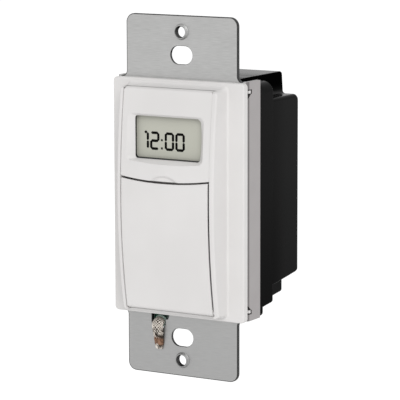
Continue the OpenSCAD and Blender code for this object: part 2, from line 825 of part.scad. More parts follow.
module lcd_gasket() {
    color("black") along_y(y_throat, y_glass) translate([0, window_z]) difference() {
        square([lcd_w, lcd_h], center = true);
        square([lcd_w - lcd_margin, lcd_h - lcd_margin], center = true);
    }
}

module lcd_glass() {
    color("darkseagreen") along_y(y_glass, y_glass_back) translate([0, window_z])
        square([lcd_w, lcd_h], center = true);
}

// Frame on the control board that holds the glass and the contact strips
module lcd_holder() {
    outer = 2 * (holder_gap + holder_t);
    color("dimgray") along_y(y_glass_back - lcd_t / 2, y_control) translate([0, window_z]) difference() {
        square([lcd_w + outer, lcd_h + outer], center = true);
        square([lcd_w + 2 * holder_gap, lcd_h + 2 * holder_gap], center = true);
    }
}

module zebra_strips() {
    color("dimgray") for (z = [-1, 1])
        along_y(y_glass_back, y_control) translate([0, window_z + z * (lcd_h - zebra_t) / 2])
            square([window_w, zebra_t], center = true);
}

module control_board() {
    color("darkgreen") difference() {
        along_y(y_control, y_control + board_t) band(control_w, control_bottom, control_top);
        for (p = POSTS) rod_y(p, y_control - lap, y_control + board_t + lap, board_screw_d + 0.2);
    }
}

module tact_switches() {
    color("darkslategray") for (k = KEYS) difference() {
        along_y(y_tact, y_control) translate([k[0], k[1]]) square(tact_w, center = true);
        rod_y(k, y_tact - lap, y_tact + plunger_in + key_travel + 0.2, plunger_d + 2 * plunger_gap);
    }
}

module microcontroller() {
    back = y_control + board_t;
    color("black") along_y(back, back + chip_t)
        translate([0, control_top - link_drop - 1.5 * chip_w]) square(chip_w, center = true);
}

module board_screws() {
    back = y_control + board_t;
    color("silver") for (p = POSTS) {
        rod_y(p, back - board_screw_l, back + lap, board_screw_d);
        rod_y(p, back, back + screw_head_t, 1.8 * board_screw_d);
    }
}

// Row of pins between the two boards, with a spacer on each
module board_link() {
    pins = 6;
    back = y_control + board_t;
    color("goldenrod") for (i = [0:pins - 1])
        along_y(back, power_y) translate([(i - (pins - 1) / 2) * link_pitch, control_top - link_drop])
            square(link_pin_t, center = true);
    color("black") for (y = [back, power_y - link_spacer])
        along_y(y, y + link_spacer) translate([0, control_top - link_drop])
            square([pins * link_pitch, link_pitch], center = true);
}

// Drawer face flush with the deck, and a cradle under the cell
module battery_tray() {
    back = battery_back - 2 * terminal_h;
    color("whitesmoke") {
        along_y(y_deck, y_deck_back) translate([0, battery_z]) difference() {
            square(2 * tray_half, center = true);
            translate([0, tray_half]) obround(finger_w, finger_h);
        }
        difference() {
            along_y(y_deck_back - lap, back) translate([0, battery_z]) band(2 * tray_half, -tray_half, 0);
            rod_y([0, battery_z], y_deck_back, back + lap, battery_d + 2 * tray_gap);
        }
    }
}

module battery() {
    color("steelblue") {
        rod_y([0, battery_z], battery_front, battery_back - terminal_h, battery_d);
        rod_y([0, battery_z], battery_front, battery_back, battery_d / 2.6);
    }
}

// Plate in front of the cell, and a folded leaf between its terminal and the case
module battery_contacts() {
    leaf = battery_d / 2;
    y0 = battery_back + contact_t / 4;
    color("gold") {
        along_y(y_deck_back, y_deck_back + contact_t) translate([0, battery_z]) square(leaf, center = true);
        translate([0, 0, battery_z]) along_x(leaf) difference() {
            translate([y0, -leaf / 2]) square([y_case_in - y0, leaf]);
            translate([y0 + contact_t, -leaf / 2 + contact_t])
                square([y_case_in - y0 - 2 * contact_t, leaf]);
        }
    }
}

module power_board() {
    color("darkgreen") along_y(power_y, y_power_back) band(power_w, power_bottom, power_top);
}

// Box on the back of the power board at a place in X and Z
module on_power_board(x, z, size) {
    translate([x - size[0] / 2, y_power_back, z - size[1] / 2]) cube([size[0], size[2], size[1]]);
}

module relay() {
    x = -power_w / 2 + part_margin + relay_size[0] / 2;
    color("black") on_power_board(x, power_top - part_margin - relay_size[1] / 2, relay_size);
}

module dropper_capacitor() {
    x = power_w / 2 - part_margin - dropper_size[0] / 2;
    color("gold") on_power_board(x, power_top - part_margin - dropper_size[1] / 2, dropper_size);
}

module filter_capacitors() {
    x = power_w / 2 - 2 * part_margin - filter_d / 2;
    z = power_bottom + part_margin + filter_d / 2;
    color("midnightblue") for (i = [0, 1])
        rod_y([x - i * (filter_d + part_margin / 2), z], y_power_back, y_power_back + filter_h, filter_d);
}

module varistor() {
    x = -power_w / 2 + 3 * part_margin + varistor_d / 2;
    z = power_bottom + part_margin + varistor_t / 2;
    foot = y_power_back + part_margin;
    color("royalblue") {
        translate([x, foot + varistor_d / 2, z - varistor_t / 2]) cylinder(d = varistor_d, h = varistor_t);
        for (s = [-1, 1])
            rod_y([x + s * varistor_d / 4, z], y_power_back, foot + varistor_d / 4, 0.8);
    }
}

// Side profile of the case: level underside line, rising towards the back
module case_profile(y0, y1, bottom, top, y_ref) {
    polygon([
        [y0, bottom + (y0 - y_ref) * rise], [y1, bottom + (y1 - y_ref) * rise], [y1, top], [y0, top]
    ]);
}

// Case block with rounded upright edges at the back
module case_block(w, y0, y1, bottom, top, y_ref) {
    r = case_r;
    intersection() {
        along_x(w) case_profile(y0, y1, bottom, top, y_ref);
        translate([0, 0, -far / 2]) linear_extrude(far) {
            translate([-w / 2, y0]) square([w, y1 - y0 - r]);
            translate([-w / 2 + r, y0]) square([w - 2 * r, y1 - y0]);
            for (x = [-1, 1]) translate([x * (w / 2 - r), y1 - r]) circle(r);
        }
    }
}

// Outer levels of the case, or their insides when drawn in by a wall
module case_levels(wall) {
    front = wall > 0 ? -lap : y_lip;
    top = case_top - wall;
    y_deep = step_d - wall - lap;
    y_back = case_d - wall;
    along_y(front, y_step_front) band(collar_w - 2 * wall, collar_bottom + wall, top);
    case_block(step_w - 2 * wall, y_step_front - lap, step_d - wall, step_bottom + wall, top, y_step_front);
    case_block(deep_w - 2 * wall, y_deep, y_back, deep_bottom + wall, deep_top - wall, step_d);
    case_block(block_w - 2 * wall, y_deep, y_back, block_bottom + wall, top, step_d);
}

// Column for a housing screw
module screw_column(p) {
    side = p[0] > 0 ? 1 : -1;
    x0 = abs(p[0]) - case_screw_head_d / 2 - 0.3;
    half = case_screw_head_d / 2 + 0.5;
    along_y(y_lip, step_d - lap) translate([side * (x0 + collar_w / 2) / 2, p[1]])
        square([collar_w / 2 - x0, 2 * half], center = true);
}

// Ribs inside the case that the power board rests on
module board_ribs() {
    for (s = [-1, 1], z = [power_top - 2 * rib_w, power_bottom + 2 * rib_w])
        translate([s * (deep_w / 2 - case_wall - rib_w / 2 + lap), 0, 0])
            along_y(y_power_back, y_case_in + lap) translate([0, z])
                square([rib_w, 2 * rib_w], center = true);
}

module rear_housing() {
    color("#1c1c1e") difference() {
        union() {
            difference() {
                union() {
                    case_levels(0);
                    along_y(case_gap, y_step_front) band(collar_w, collar_bottom, case_top);
                    along_y(y_lip, y_step_front) band(body_w - 0.2, -body_h / 2 + 0.7, case_top);
                }
                case_levels(case_wall);
            }
            intersection() {
                for (p = CASE_SCREWS) screw_column(p);
                case_levels(0);
            }
            board_ribs();
        }
        for (p = CASE_SCREWS) rod_y(p, -lap, step_d + lap, case_screw_d + 0.4);
        for (i = [-1:1]) rod_y([i * exit_step, case_screw_top], y_case_in - lap, case_d + lap, exit_d);
        both_sides() for (z = [-1, 1])
            translate([flat_w / 2 - hook_w, -lap, z * hook_z - hook_w / 2 - hook_gap])
                cube([far, y_strap + hook_reach + hook_gap + lap, hook_w + 2 * hook_gap]);
    }
}

module housing_screws() {
    color("silver") for (p = CASE_SCREWS) {
        rod_y(p, y_strap, step_d + lap, case_screw_d - 0.1);
        rod_y(p, step_d, step_d + case_head_t, case_screw_head_d);
    }
}

// Strands that come out of the lead, fold down over the notch and thin out to the weld at their lower end
module ground_strands() {
    low = notch_z - strand_l;
    top = lead_start[2] + 0.4 * lead_d;
    y_end = lead_start[1] - 0.2 * lead_d;
    color("peru") translate([lead_start[0], 0, 0]) intersection() {
        along_y(y_strap - strand_rise, 0) union() {
            translate([-strand_w / 2, low + strand_w / 2]) square([strand_w, top - low - strand_w / 2]);
            translate([0, low + strand_w / 2]) circle(d = strand_w);
        }
        along_x(strand_w) polygon([
            [y_strap, low], [y_strap, seat_z + 0.1], [y_end, seat_z + 0.3], [y_end, top],
            [y_strap - strand_rise / 2, top], [y_strap - strand_rise, top - strand_rise / 2],
            [y_strap - strand_rise, seat_z], [y_strap - strand_rise / 2.4, low]
        ]);
    }
}

function unit(v) = v / norm(v);

// Point on the smooth curve through four route points, at a share t of the middle span
function on_span(a, b, c, d, t) = 0.5 * (
    2 * b + (c - a) * t + (2 * a - 5 * b + 4 * c - d) * t ^ 2 + (3 * b - a - 3 * c + d) * t ^ 3
);

// Smooth curve through all the route points
function smooth(route, steps) = [
    for (i = [0:len(route) - 2], j = [0:steps - 1]) on_span(
        route[max(i - 1, 0)], route[i], route[i + 1], route[min(i + 2, len(route) - 1)], j / steps
    ),
    route[len(route) - 1]
];

// Direction of the curve at each of its points
function headings(path) = [
    for (i = [0:len(path) - 1]) unit(path[min(i + 1, len(path) - 1)] - path[max(i - 1, 0)])
];

// Side vectors carried along the headings without twist
function carried(dirs, i, side) = i >= len(dirs) ? [] : let (
    next = unit(side - (side * dirs[i]) * dirs[i])
) concat([next], carried(dirs, i + 1, next));

function path_length(path) = len(path) < 2 ? 0 : [
    for (i = 1, sum = norm(path[1] - path[0]); i < len(path); i = i + 1,
        sum = sum + (i < len(path) ? norm(path[i] - path[i - 1]) : 0)) sum
][len(path) - 2];

// Least distance between stretches of the lead that lie far apart along it, less its diameter
function self_gap(path, apart) = min([
    for (i = [0:len(path) - 1], j = [i + apart:1:len(path) - 1]) norm(path[i] - path[j])
]) - lead_d;

lead_path = smooth(lead_route, LEAD_STEPS);

// Round tube along a path, closed at both ends
module tube(path, d, sides) {
    dirs = headings(path);
    across = carried(dirs, 0, [1, 0, 0]);
    points = [
        for (i = [0:len(path) - 1], k = [0:sides - 1]) let (a = 360 * k / sides)
            path[i] + d / 2 * (cos(a) * across[i] + sin(a) * cross(dirs[i], across[i]))
    ];
    last = (len(path) - 1) * sides;
    faces = concat(
        [for (i = [0:len(path) - 2], k = [0:sides - 1]) [
            i * sides + k, i * sides + (k + 1) % sides, (i + 1) * sides + (k + 1) % sides
        ]],
        [for (i = [0:len(path) - 2], k = [0:sides - 1]) [
            i * sides + k, (i + 1) * sides + (k + 1) % sides, (i + 1) * sides + k
        ]],
        [for (k = [1:sides - 2]) [0, k + 1, k]],
        [for (k = [1:sides - 2]) [last, last + k, last + k + 1]]
    );
    polyhedron(points, [for (f = faces) [f[0], f[2], f[1]]]);
}

module ground_lead() {
    echo(lead_length = path_length(lead_path), lead_self_gap = self_gap(lead_path, 12));
    color("seagreen") tube(lead_path, lead_d, LEAD_SIDES);
}

// Band round the two runs of the folded lead
module lead_tie() {
    near = [for (p = lead_path) if (abs(p[2] - tie_z) < 3 && p[1] > y_case_in) p];
    x0 = min([for (p = near) p[0]]);
    x1 = max([for (p = near) p[0]]);
    inner = lead_d + 0.5;
    ys = [for (p = near) p[1]];
    y = (min(ys) + max(ys)) / 2;
    color("white") translate([(x0 + x1) / 2, y, tie_z - tie_h / 2]) linear_extrude(tie_h) difference() {
        obround(x1 - x0 + inner + 2 * tie_t, inner + 2 * tie_t);
        obround(x1 - x0 + inner, inner);
    }
}

// Stripped strands past the end of the insulation
module lead_bare_end() {
    heading = headings(lead_path)[len(lead_path) - 1];
    color("peru") translate(lead_end)
        rotate([0, acos(heading[2]), atan2(heading[1], heading[0])]) cylinder(d = bare_d, h = bare_l);
}

mounting_strap();
front_housing();
display_panel();
door();
on_off_button();
mode_button();
enter_button();
minus_button();
plus_button();
reset_button();
lcd_gasket();
lcd_glass();
lcd_holder();
zebra_strips();
control_board();
tact_switches();
microcontroller();
board_screws();
board_link();
battery_tray();
battery();
battery_contacts();
power_board();
relay();
dropper_capacitor();
filter_capacitors();
varistor();
rear_housing();
housing_screws();
ground_strands();
ground_lead();
lead_tie();
lead_bare_end();
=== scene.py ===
import math

import bmesh
import bpy
import numpy as np
from mathutils import Matrix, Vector
from mathutils.geometry import tessellate_polygon


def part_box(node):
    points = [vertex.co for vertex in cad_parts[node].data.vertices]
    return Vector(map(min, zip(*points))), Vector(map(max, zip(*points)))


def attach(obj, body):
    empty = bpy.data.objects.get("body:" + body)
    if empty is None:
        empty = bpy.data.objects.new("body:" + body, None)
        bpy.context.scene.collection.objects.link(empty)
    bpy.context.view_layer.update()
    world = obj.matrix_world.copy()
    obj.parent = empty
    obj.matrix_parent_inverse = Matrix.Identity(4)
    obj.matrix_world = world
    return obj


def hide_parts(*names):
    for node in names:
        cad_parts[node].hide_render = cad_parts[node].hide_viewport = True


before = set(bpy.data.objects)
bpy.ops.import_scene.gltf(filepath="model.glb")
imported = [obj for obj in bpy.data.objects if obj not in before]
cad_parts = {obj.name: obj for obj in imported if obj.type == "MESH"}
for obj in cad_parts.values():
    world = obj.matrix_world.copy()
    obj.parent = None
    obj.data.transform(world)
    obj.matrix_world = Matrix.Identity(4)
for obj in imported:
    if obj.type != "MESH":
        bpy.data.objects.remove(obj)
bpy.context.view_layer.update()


# Mounting strap: one stamping of galvanised sheet steel. Its box screw slots are punched, its plate
# screw holes are drawn into collars and tapped, and both long sides of its middle are bent back.
class Signal:
    """A shader socket that takes part in sums: each operator adds one Math node to its finish."""

    def __init__(self, finish, socket):
        self.finish, self.socket = finish, socket

    def math(self, operation, first, second):
        return self.finish.node("ShaderNodeMath", {"operation": operation}, {0: first, 1: second})

    def __add__(self, other):
        return self.math("ADD", self, other)

    def __mul__(self, other):
        return self.math("MULTIPLY", self, other)

    def __sub__(self, other):
        return self.math("SUBTRACT", self, other)

    def __rsub__(self, other):
        return self.math("SUBTRACT", other, self)

    __radd__, __rmul__ = __add__, __mul__

    def rise(self, low, high):
        """Smooth step from 0 at low to 1 at high."""
        return self.finish.node("ShaderNodeMapRange", {"interpolation_type": "SMOOTHSTEP"},
                                {"Value": self, "From Min": low, "From Max": high})


class Finish:
    """A material with one Principled shader, whose plain numbers are set on its own sockets. Lengths in mm."""

    def __init__(self, name, plain):
        self.material = bpy.data.materials.new(name)
        self.material.use_nodes = True
        self.tree = self.material.node_tree
        self.shader = self.tree.nodes["Principled BSDF"]
        for socket, value in plain.items():
            self.shader.inputs[socket].default_value = value

    def node(self, kind, settings=(), sockets=(), out=0):
        """Any node: its settings first, then a value or a link for each socket; gives one output."""
        node = self.tree.nodes.new(kind)
        for key, value in dict(settings).items():
            setattr(node, key, value)
        for key, value in dict(sockets).items():
            if isinstance(value, Signal):
                self.tree.links.new(value.socket, node.inputs[key])
            else:
                node.inputs[key].default_value = value
        return Signal(self, node.outputs[out])

    def place(self, stretch=(1, 1, 1)):
        """Object coordinates in mm, multiplied along each axis."""
        where = self.node("ShaderNodeTexCoord", out=3)
        return self.node("ShaderNodeMapping", {}, {"Vector": where, "Scale": tuple(1000 * s for s in stretch)})

    def noise(self, stretch=(1, 1, 1), detail=2.0):
        """Noise from 0 to 1, with a grain of about 1 mm before its place is multiplied along each axis."""
        return self.node("ShaderNodeTexNoise", {},
                         {"Vector": self.place(stretch), "Scale": 1.0, "Detail": detail})

    def along(self, axis):
        """One object coordinate, in mm."""
        return self.node("ShaderNodeSeparateXYZ", {}, {"Vector": self.place()}, axis)

    def aside(self):
        """Distance from the middle plane, in mm."""
        return self.node("ShaderNodeMath", {"operation": "ABSOLUTE"}, {0: self.along(0)})

    def cut_and_shade_faces(self):
        """How far each face is marked as cut, from 0 to 1; the copper core's mark is painted shade."""
        return self.node("ShaderNodeAttribute", {"attribute_name": "cut"}, out=2)

    def mix(self, share, first, second):
        return self.node("ShaderNodeMix", {"data_type": "RGBA"}, {0: share, 6: first, 7: second}, 2)

    def show(self, socket, signal):
        self.tree.links.new(signal.socket, self.shader.inputs[socket])
        return self

    def relief(self, height, depth):
        """Bumps of a depth in mm, for a height from 0 to 1."""
        bump = self.node("ShaderNodeBump", {}, {"Strength": 1.0, "Distance": depth / 1000, "Height": height})
        return self.show("Normal", bump)


def outline(corners, radii, steps=7, sides=0):
    """Closed loop in X and Z round corner points: at each corner an arc of its radius from tangent point
    to tangent point, and on each side evenly spaced points from one arc to the next."""
    p = np.asarray(corners, float)
    r = np.broadcast_to(np.asarray(radii, float), len(p))[:, None]
    a, b = np.roll(p, 1, 0) - p, np.roll(p, -1, 0) - p
    a, b = (v / np.linalg.norm(v, axis=1, keepdims=True) for v in (a, b))
    half = np.arccos(np.clip((a * b).sum(1, keepdims=True), -1, 1)) / 2
    start, stop = p + a * r / np.tan(half), p + b * r / np.tan(half)
    inward = (a + b) / np.maximum(np.linalg.norm(a + b, axis=1, keepdims=True), 1e-9)
    middle = p + inward * r / np.sin(half)
    sweep = np.maximum(np.pi - 2 * half, 1e-6)[:, None]
    t = np.linspace(0, 1, steps)[None, :, None]
    arc = middle[:, None] + (np.sin((1 - t) * sweep) * (start - middle)[:, None]
                             + np.sin(t * sweep) * (stop - middle)[:, None]) / np.sin(sweep)
    u = np.linspace(0, 1, sides)[None, :, None]
    line = stop[:, None] * (1 - u) + np.roll(start, -1, 0)[:, None] * u
    return np.concatenate([arc, line], 1).reshape(-1, 2)


def box(left, right, low, high, r, steps=7, sides=0):
    """Rounded rectangle, anticlockwise from the front; r is one radius or four from the lower left on."""
    return outline([(left, low), (right, low), (right, high), (left, high)], r, steps, sides)


def circle(x, z, r, count=48):
    a = np.linspace(0, 2 * np.pi, count, endpoint=False)
    return np.column_stack([x + r * np.cos(a), z + r * np.sin(a)])


def at(loop, y):
    """The loop lifted to a depth y, which is one number or one for each point."""
    return np.column_stack([loop[:, 0], np.broadcast_to(y, len(loop)), loop[:, 1]])


def drawn_in(loop, depth):
    """The loop moved to its left, into the material, along the mitre of its two edges at each point."""
    edge = np.roll(loop, -1, 0) - loop
    left = np.column_stack([-edge[:, 1], edge[:, 0]]) / np.linalg.norm(edge, axis=1, keepdims=True)
    before = np.roll(left, 1, 0)
    return loop + depth * (left + before) / (1 + (left * before).sum(1, keepdims=True))


def skin(rows, closed=False):
    """Quads between neighbouring rows, each one closed loop; closed also joins the last row to the first."""
    rows = np.asarray(rows)
    m, n = rows.shape[:2]
    r, j = np.arange(m if closed else m - 1)[:, None], np.arange(n)[None]
    nr, nj = (r + 1) % m, (j + 1) % n
    quads = np.stack([r * n + j, nr * n + j, nr * n + nj, r * n + nj], -1).reshape(-1, 4)
    return rows.reshape(-1, 3), quads


def capped(rows):
    """Skin whose first and last rows are closed too, by quads from each row's first half to its second."""
    points, quads = skin(rows)
    m, n = np.asarray(rows).shape[:2]
    i = np.arange(n // 2 - 1)
    end = np.column_stack([i, i + 1, n - 2 - i, n - 1 - i])
    return points, np.concatenate([quads, end, end[:, ::-1] + (m - 1) * n])


def tiled(loops, facing):
    """Triangles over the flat area between an outline and its holes, all turned to the side of facing."""
    points = np.concatenate(loops)
    tri = np.array(tessellate_polygon([loop.tolist() for loop in loops]))
    a, b, c = (points[tri[:, k]] for k in range(3))
    area = (b - a)[:, 0] * (c - a)[:, 1] - (b - a)[:, 1] * (c - a)[:, 0]
    turned_over = area * facing > 0
    tri[turned_over] = tri[turned_over][:, ::-1]
    return tri


def fill(loops, facing):
    """Face over loops that lie across Y; facing is -1 to the front and 1 to the back."""
    return np.concatenate(loops), tiled([loop[:, [0, 2]] for loop in loops], facing)


def plate(loops, front, back, edge, pierced=(), steps=3):
    """Flat sheet between two planes. Round each loop goes a quarter round at the front and one at the back,
    and both faces are filled; pierced pairs of loops are left open in the front and in the back face."""
    a = np.linspace(0, np.pi / 2, steps)
    inset = np.concatenate([[edge + 0.12], edge * (1 - np.sin(a))])
    drop = np.concatenate([[0], edge * (1 - np.cos(a))])
    rows = [[at(drawn_in(loop, i), front + d) for i, d in zip(inset, drop)]
            + [at(drawn_in(loop, i), back - d) for i, d in zip(inset[::-1], drop[::-1])] for loop in loops]
    return [(*skin(r), 1.0) for r in rows] + [
        fill([r[0] for r in rows] + [at(p[0], front) for p in pierced], -1),
        fill([r[-1] for r in rows] + [at(p[1], back) for p in pierced], 1)]


def mirrored(shell):
    return shell[0] * [-1, 1, 1], shell[1][:, ::-1], *shell[2:]


def piece(name, shells, finish, slot, *nodes, body="housing", sharp=38):
    """One object from shells in mm: doubles are merged so that seams close, and edges past an angle in degrees
    stay sharp. A shell's third entry marks its faces as cut; the copper core's mark is painted shade."""
    starts = np.cumsum([0] + [len(s[0]) for s in shells])
    faces = [f for s, k in zip(shells, starts) for f in (s[1] + k).tolist()]
    mesh = bpy.data.meshes.new(name)
    mesh.from_pydata((np.concatenate([s[0] for s in shells]) / 1000).tolist(), [], faces)
    cut = np.concatenate([np.full(len(s[1]), s[2] if len(s) > 2 else 0.0) for s in shells])
    mesh.attributes.new("cut", "FLOAT", "FACE").data.foreach_set("value", cut)
    work = bmesh.new()
    work.from_mesh(mesh)
    bmesh.ops.remove_doubles(work, verts=work.verts, dist=3e-6)
    bmesh.ops.dissolve_degenerate(work, edges=work.edges, dist=1e-6)
    work.to_mesh(mesh)
    work.free()
    mesh.polygons.foreach_set("use_smooth", np.ones(len(mesh.polygons), bool))
    mesh.set_sharp_from_angle(angle=math.radians(sharp))
    mesh.materials.append(finish.material)
    made = bpy.data.objects.new(name, mesh)
    bpy.context.scene.collection.objects.link(made)
    even = made.modifiers.new("even_shading", "WEIGHTED_NORMAL")
    even.keep_sharp = True
    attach(made, body)
    if nodes:
        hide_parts(*nodes)
    return made


galvanised = Finish("galvanised_sheet", {"Metallic": 1.0})
streaks, clouds = galvanised.noise((0.3, 5, 6), 3), galvanised.noise((0.1, 0.2, 0.2), 2)
brushed = (0.75 * streaks + 0.25 * clouds).rise(0.3, 0.7)
coat_and_painted_shade = galvanised.mix(brushed, (0.425, 0.425, 0.42, 1), (0.505, 0.505, 0.5, 1))
# Painted shade: the sheet's colour darkens towards its bottom, standing in for the lower ear's duller
# reflection.
coat_and_painted_shade = galvanised.mix(0.5 * galvanised.along(2).rise(10, -60), coat_and_painted_shade, (0.30, 0.30, 0.30, 1))
aside = galvanised.aside()
# Painted shade: the bent flanges, which face sideways, are coloured darker and pinker than the front of the
# sheet.
coat_and_painted_shade = galvanised.mix(0.75 * aside.rise(20.8, 21.4), coat_and_painted_shade, (0.375, 0.35, 0.35, 1))
# Painted shade: a dark line in the fold beside the front housing's base, where shade falls.
crease_shade = aside.rise(21.1, 21.4) - aside.rise(21.86, 21.98)
coat_and_painted_shade = galvanised.mix(crease_shade, coat_and_painted_shade, (0.2, 0.19, 0.19, 1))
galvanised.show("Base Color", galvanised.mix(galvanised.cut_and_shade_faces(), coat_and_painted_shade, (0.05, 0.05, 0.05, 1)))
galvanised.show("Roughness", 0.38 + 0.18 * clouds).relief(streaks, 0.003)

SHEET_FRONT, EAR_HALF, FOLD_X, EAR_FOOT, STRAP_END = -1.2, 18.65, 20.5, 34.7, 53.2
strap_edge = outline(
    [(-EAR_HALF, -STRAP_END), (EAR_HALF, -STRAP_END), (EAR_HALF, -EAR_FOOT), (FOLD_X, -EAR_FOOT),
     (FOLD_X, EAR_FOOT), (EAR_HALF, EAR_FOOT), (EAR_HALF, STRAP_END), (-EAR_HALF, STRAP_END),
     (-EAR_HALF, EAR_FOOT), (-FOLD_X, EAR_FOOT), (-FOLD_X, -EAR_FOOT), (-EAR_HALF, -EAR_FOOT)],
    [2.6, 2.6, 1.75, 0.05, 0.05, 1.75] * 2, 10)
strap_window = outline(
    [(-15, 32.3), (15, 32.3), (15, -32.6), (-4.4, -32.6), (-4.4, -34.7), (-5.1, -36.6), (-5.9, -36.6),
     (-5.9, -39.9), (-10.4, -39.9), (-10.4, -32.6), (-15, -32.6)],
    [0.4, 0.4, 0.4, 0.3, 0.3, 0.3, 0.2, 2.2, 2.2, 0.3, 0.4], 7)
SLOT_Z, SLOT_HALF_W, SLOT_HALF_H, TAP_Z = 41.67, 3.65, 2.65, 48.42
bores, rims = [], []
for z in (-SLOT_Z, SLOT_Z):
    slot = [box(-SLOT_HALF_W - d, SLOT_HALF_W + d, z - SLOT_HALF_H - d, z + SLOT_HALF_H + d, 2.64 + d, 14)[::-1]
            for d in (0.12, 0, 0, 0.15, 0.25)]
    slot_wall = [at(loop, y) for loop, y in zip(slot, (SHEET_FRONT, -1.08, -0.7, -0.1, 0))]
    bores.append((*skin(slot_wall), 1.0))
    rims.append((slot[0], slot[-1]))
for z in (-TAP_Z, TAP_Z):
    thread_y = np.linspace(-1.85, -0.1, 61)
    thread_r = 1.6 + 0.2 * np.abs((thread_y / 0.4) % 1 - 0.5)
    y = np.concatenate([[SHEET_FRONT, -1.3, -1.9, -2.0, -2.0, -1.92], thread_y, [0]])
    r = np.concatenate([[2.4, 2.25, 2.05, 1.97, 1.8, 1.7], thread_r, [1.8]])
    loops = [at(circle(0, z, rr)[::-1], yy) for rr, yy in zip(r, y)]
    bores += [(*skin(loops[:2]), 0.4), (*skin(loops[1:5]), 0.05), (*skin(loops[4:]), 0.9)]
    rims.append((circle(0, z, 2.4)[::-1], circle(0, z, 1.8)[::-1]))
strap = plate([strap_edge, strap_window], SHEET_FRONT, 0.0, 0.12, rims) + bores


def flange_row(z, front):
    """Bent edge and flange across one height, outside first: quarter rounds of both faces about one middle,
    then the straight part; nothing of it lies before a depth front, where a hook's window is open."""
    faces, middle = [], 0.3
    for r in (1.5, 0.3):
        a = np.linspace(np.arcsin(np.clip((front - middle) / r, -1, 0)), 0, 9)
        x, y = FOLD_X + r * np.cos(a), np.maximum(middle + r * np.sin(a), front)
        faces.append(np.column_stack([np.append(x, [x[-1], 20.55 + 0.96 * r]), np.append(y, [6.1, 6.2])]))
    section = np.concatenate([faces[0], faces[1][::-1]])
    return np.column_stack([section, np.full(len(section), z)])


hook_window = [(32.75, 1.2), (31.55, 1.2), (31.3, 0.5), (30.6, -0.2), (29.9, -0.85)]
half = [(32.75, SHEET_FRONT), *hook_window, (29.9, SHEET_FRONT)]
heights = [(34.95, SHEET_FRONT), *half, *((-z, front) for z, front in half[::-1]), (-EAR_FOOT, SHEET_FRONT)]
flange = capped([flange_row(z, front) for z, front in heights])
piece("strap_sheet", strap + [flange, mirrored(flange)], galvanised, "galvanised_steel", "mounting_strap")


# Rear case: a black moulding in one shot. A collar goes in between the strap's flanges, a lip stops on
# them, and behind lie a shallow level and a deep block whose four corners are cut away for the screws.
case_black = Finish("black_case_moulding",
                    {"Specular IOR Level": 0.0, "Coat IOR": 1.0975, "Coat Roughness": 0.2})
grain, cast = case_black.noise((5, 5, 5), 2), case_black.noise((0.06, 0.06, 0.06), 2)
up, far = case_black.along(2).rise(-45, 30), case_black.along(1).rise(14, 24)
aside = case_black.aside()
# Painted shade: in the upper half, a band beside the middle block's sides loses its coat and turns near black,
# as the shaded recess there.
recess_shade = (aside.rise(15.4, 15.8) - aside.rise(16.4, 16.8)) * case_black.along(2).rise(0, 10)
# Painted sheen: the coat weight rises towards the top and towards the back, so those parts reflect more; its
# grain term is the moulding's own.
gloss_and_painted_sheen = 0.21 + 0.52 * up + far * (0.37 - 0.11 * up) + 0.08 * grain
case_black.show("Coat Weight", gloss_and_painted_sheen * (1 - recess_shade))
tone = case_black.mix(cast, (0.003, 0.003, 0.003, 1), (0.005, 0.005, 0.005, 1))
case_black.show("Base Color", case_black.mix(recess_shade, tone, (0.001, 0.001, 0.001, 1)))
case_black.show("Roughness", 0.16 + 0.1 * grain).relief(grain, 0.001)
RISE = math.tan(math.radians(6))
COLLAR, LIP = (20.6, -32.0, 33.7, -32.3, 34.5), (21.9, -34.6, 33.9, -34.65, 34.95)
LIP_FRONT, LEVEL_FRONT, LEVEL_BACK, CASE_BACK, BACK_ROUND = 6.3, 7.55, 14.5, 30.05, 1.4
BLOCK_LOW, BLOCK_HIGH, WALL, WALL_BACK = -33.2, 35.0, 1.5, 28.4


def case_row(y, wide, low, high, block_low, block_high, radii, wall=0.0, block=16.0):
    """Cross-shaped outline with twelve corners at a depth y: a middle block through wide shoulders. Radii are
    those of the block's corners, of the inner corners and of the lower and upper shoulders; a wall draws it
    in."""
    w, k = wide - wall, block - wall
    half = np.array([(k, block_low + wall), (k, low + wall), (w, low + wall), (w, high - wall),
                     (k + 0.3, high - wall), (k - 0.1, block_high - wall)])
    tip, inner, under, over = radii
    r = [tip, inner, under, over, inner, tip]
    return at(outline(np.concatenate([half, half[::-1] * [-1, 1]]), r + r[::-1], 7), y)


def shallow(y, inset=0.0, wall=0.0):
    """Shallow level, whose underside rises towards the back."""
    rise = (y - LEVEL_FRONT) * RISE
    radii = (0.5, 0.1, 0.3, 0.3) if wall else (0.5, 0.1, 0.8, 3.2)
    return case_row(y, 21.75 - inset, -32.4 + rise + inset, 33.8 - inset,
                    BLOCK_LOW + rise + inset, BLOCK_HIGH - inset, radii, wall)


def deep(y, inset=0.0, wall=0.0):
    """Deep level with its cut corners, which are rounded out where they meet the middle block. At its back the
    shoulders fall in by a quarter round, and the underside by 0.6 of it."""
    rise = (y - 14.0) * RISE
    past = max(y - CASE_BACK + BACK_ROUND, 0)
    drop = BACK_ROUND - math.sqrt(BACK_ROUND ** 2 - past ** 2) if y < CASE_BACK else BACK_ROUND
    radii = (0.3, 0.3, 0.4, 1.1) if wall else (0.8, 1.5, 0.4, 1.1)
    return case_row(y, 21.65 - inset, -26.65 + 1.19 * rise + 0.6 * drop + inset, 28.65 - drop - inset,
                    BLOCK_LOW + rise + inset, BLOCK_HIGH - inset, radii, wall, 16.3 - inset)


def quarter(r, count=4):
    """Insets and steps of a rounded edge: r less r times the cosine, and r less r times the sine, of a quarter
    turn."""
    a = np.linspace(0, np.pi / 2, count)
    return list(zip(r * (1 - np.cos(a)), r * (1 - np.sin(a))))


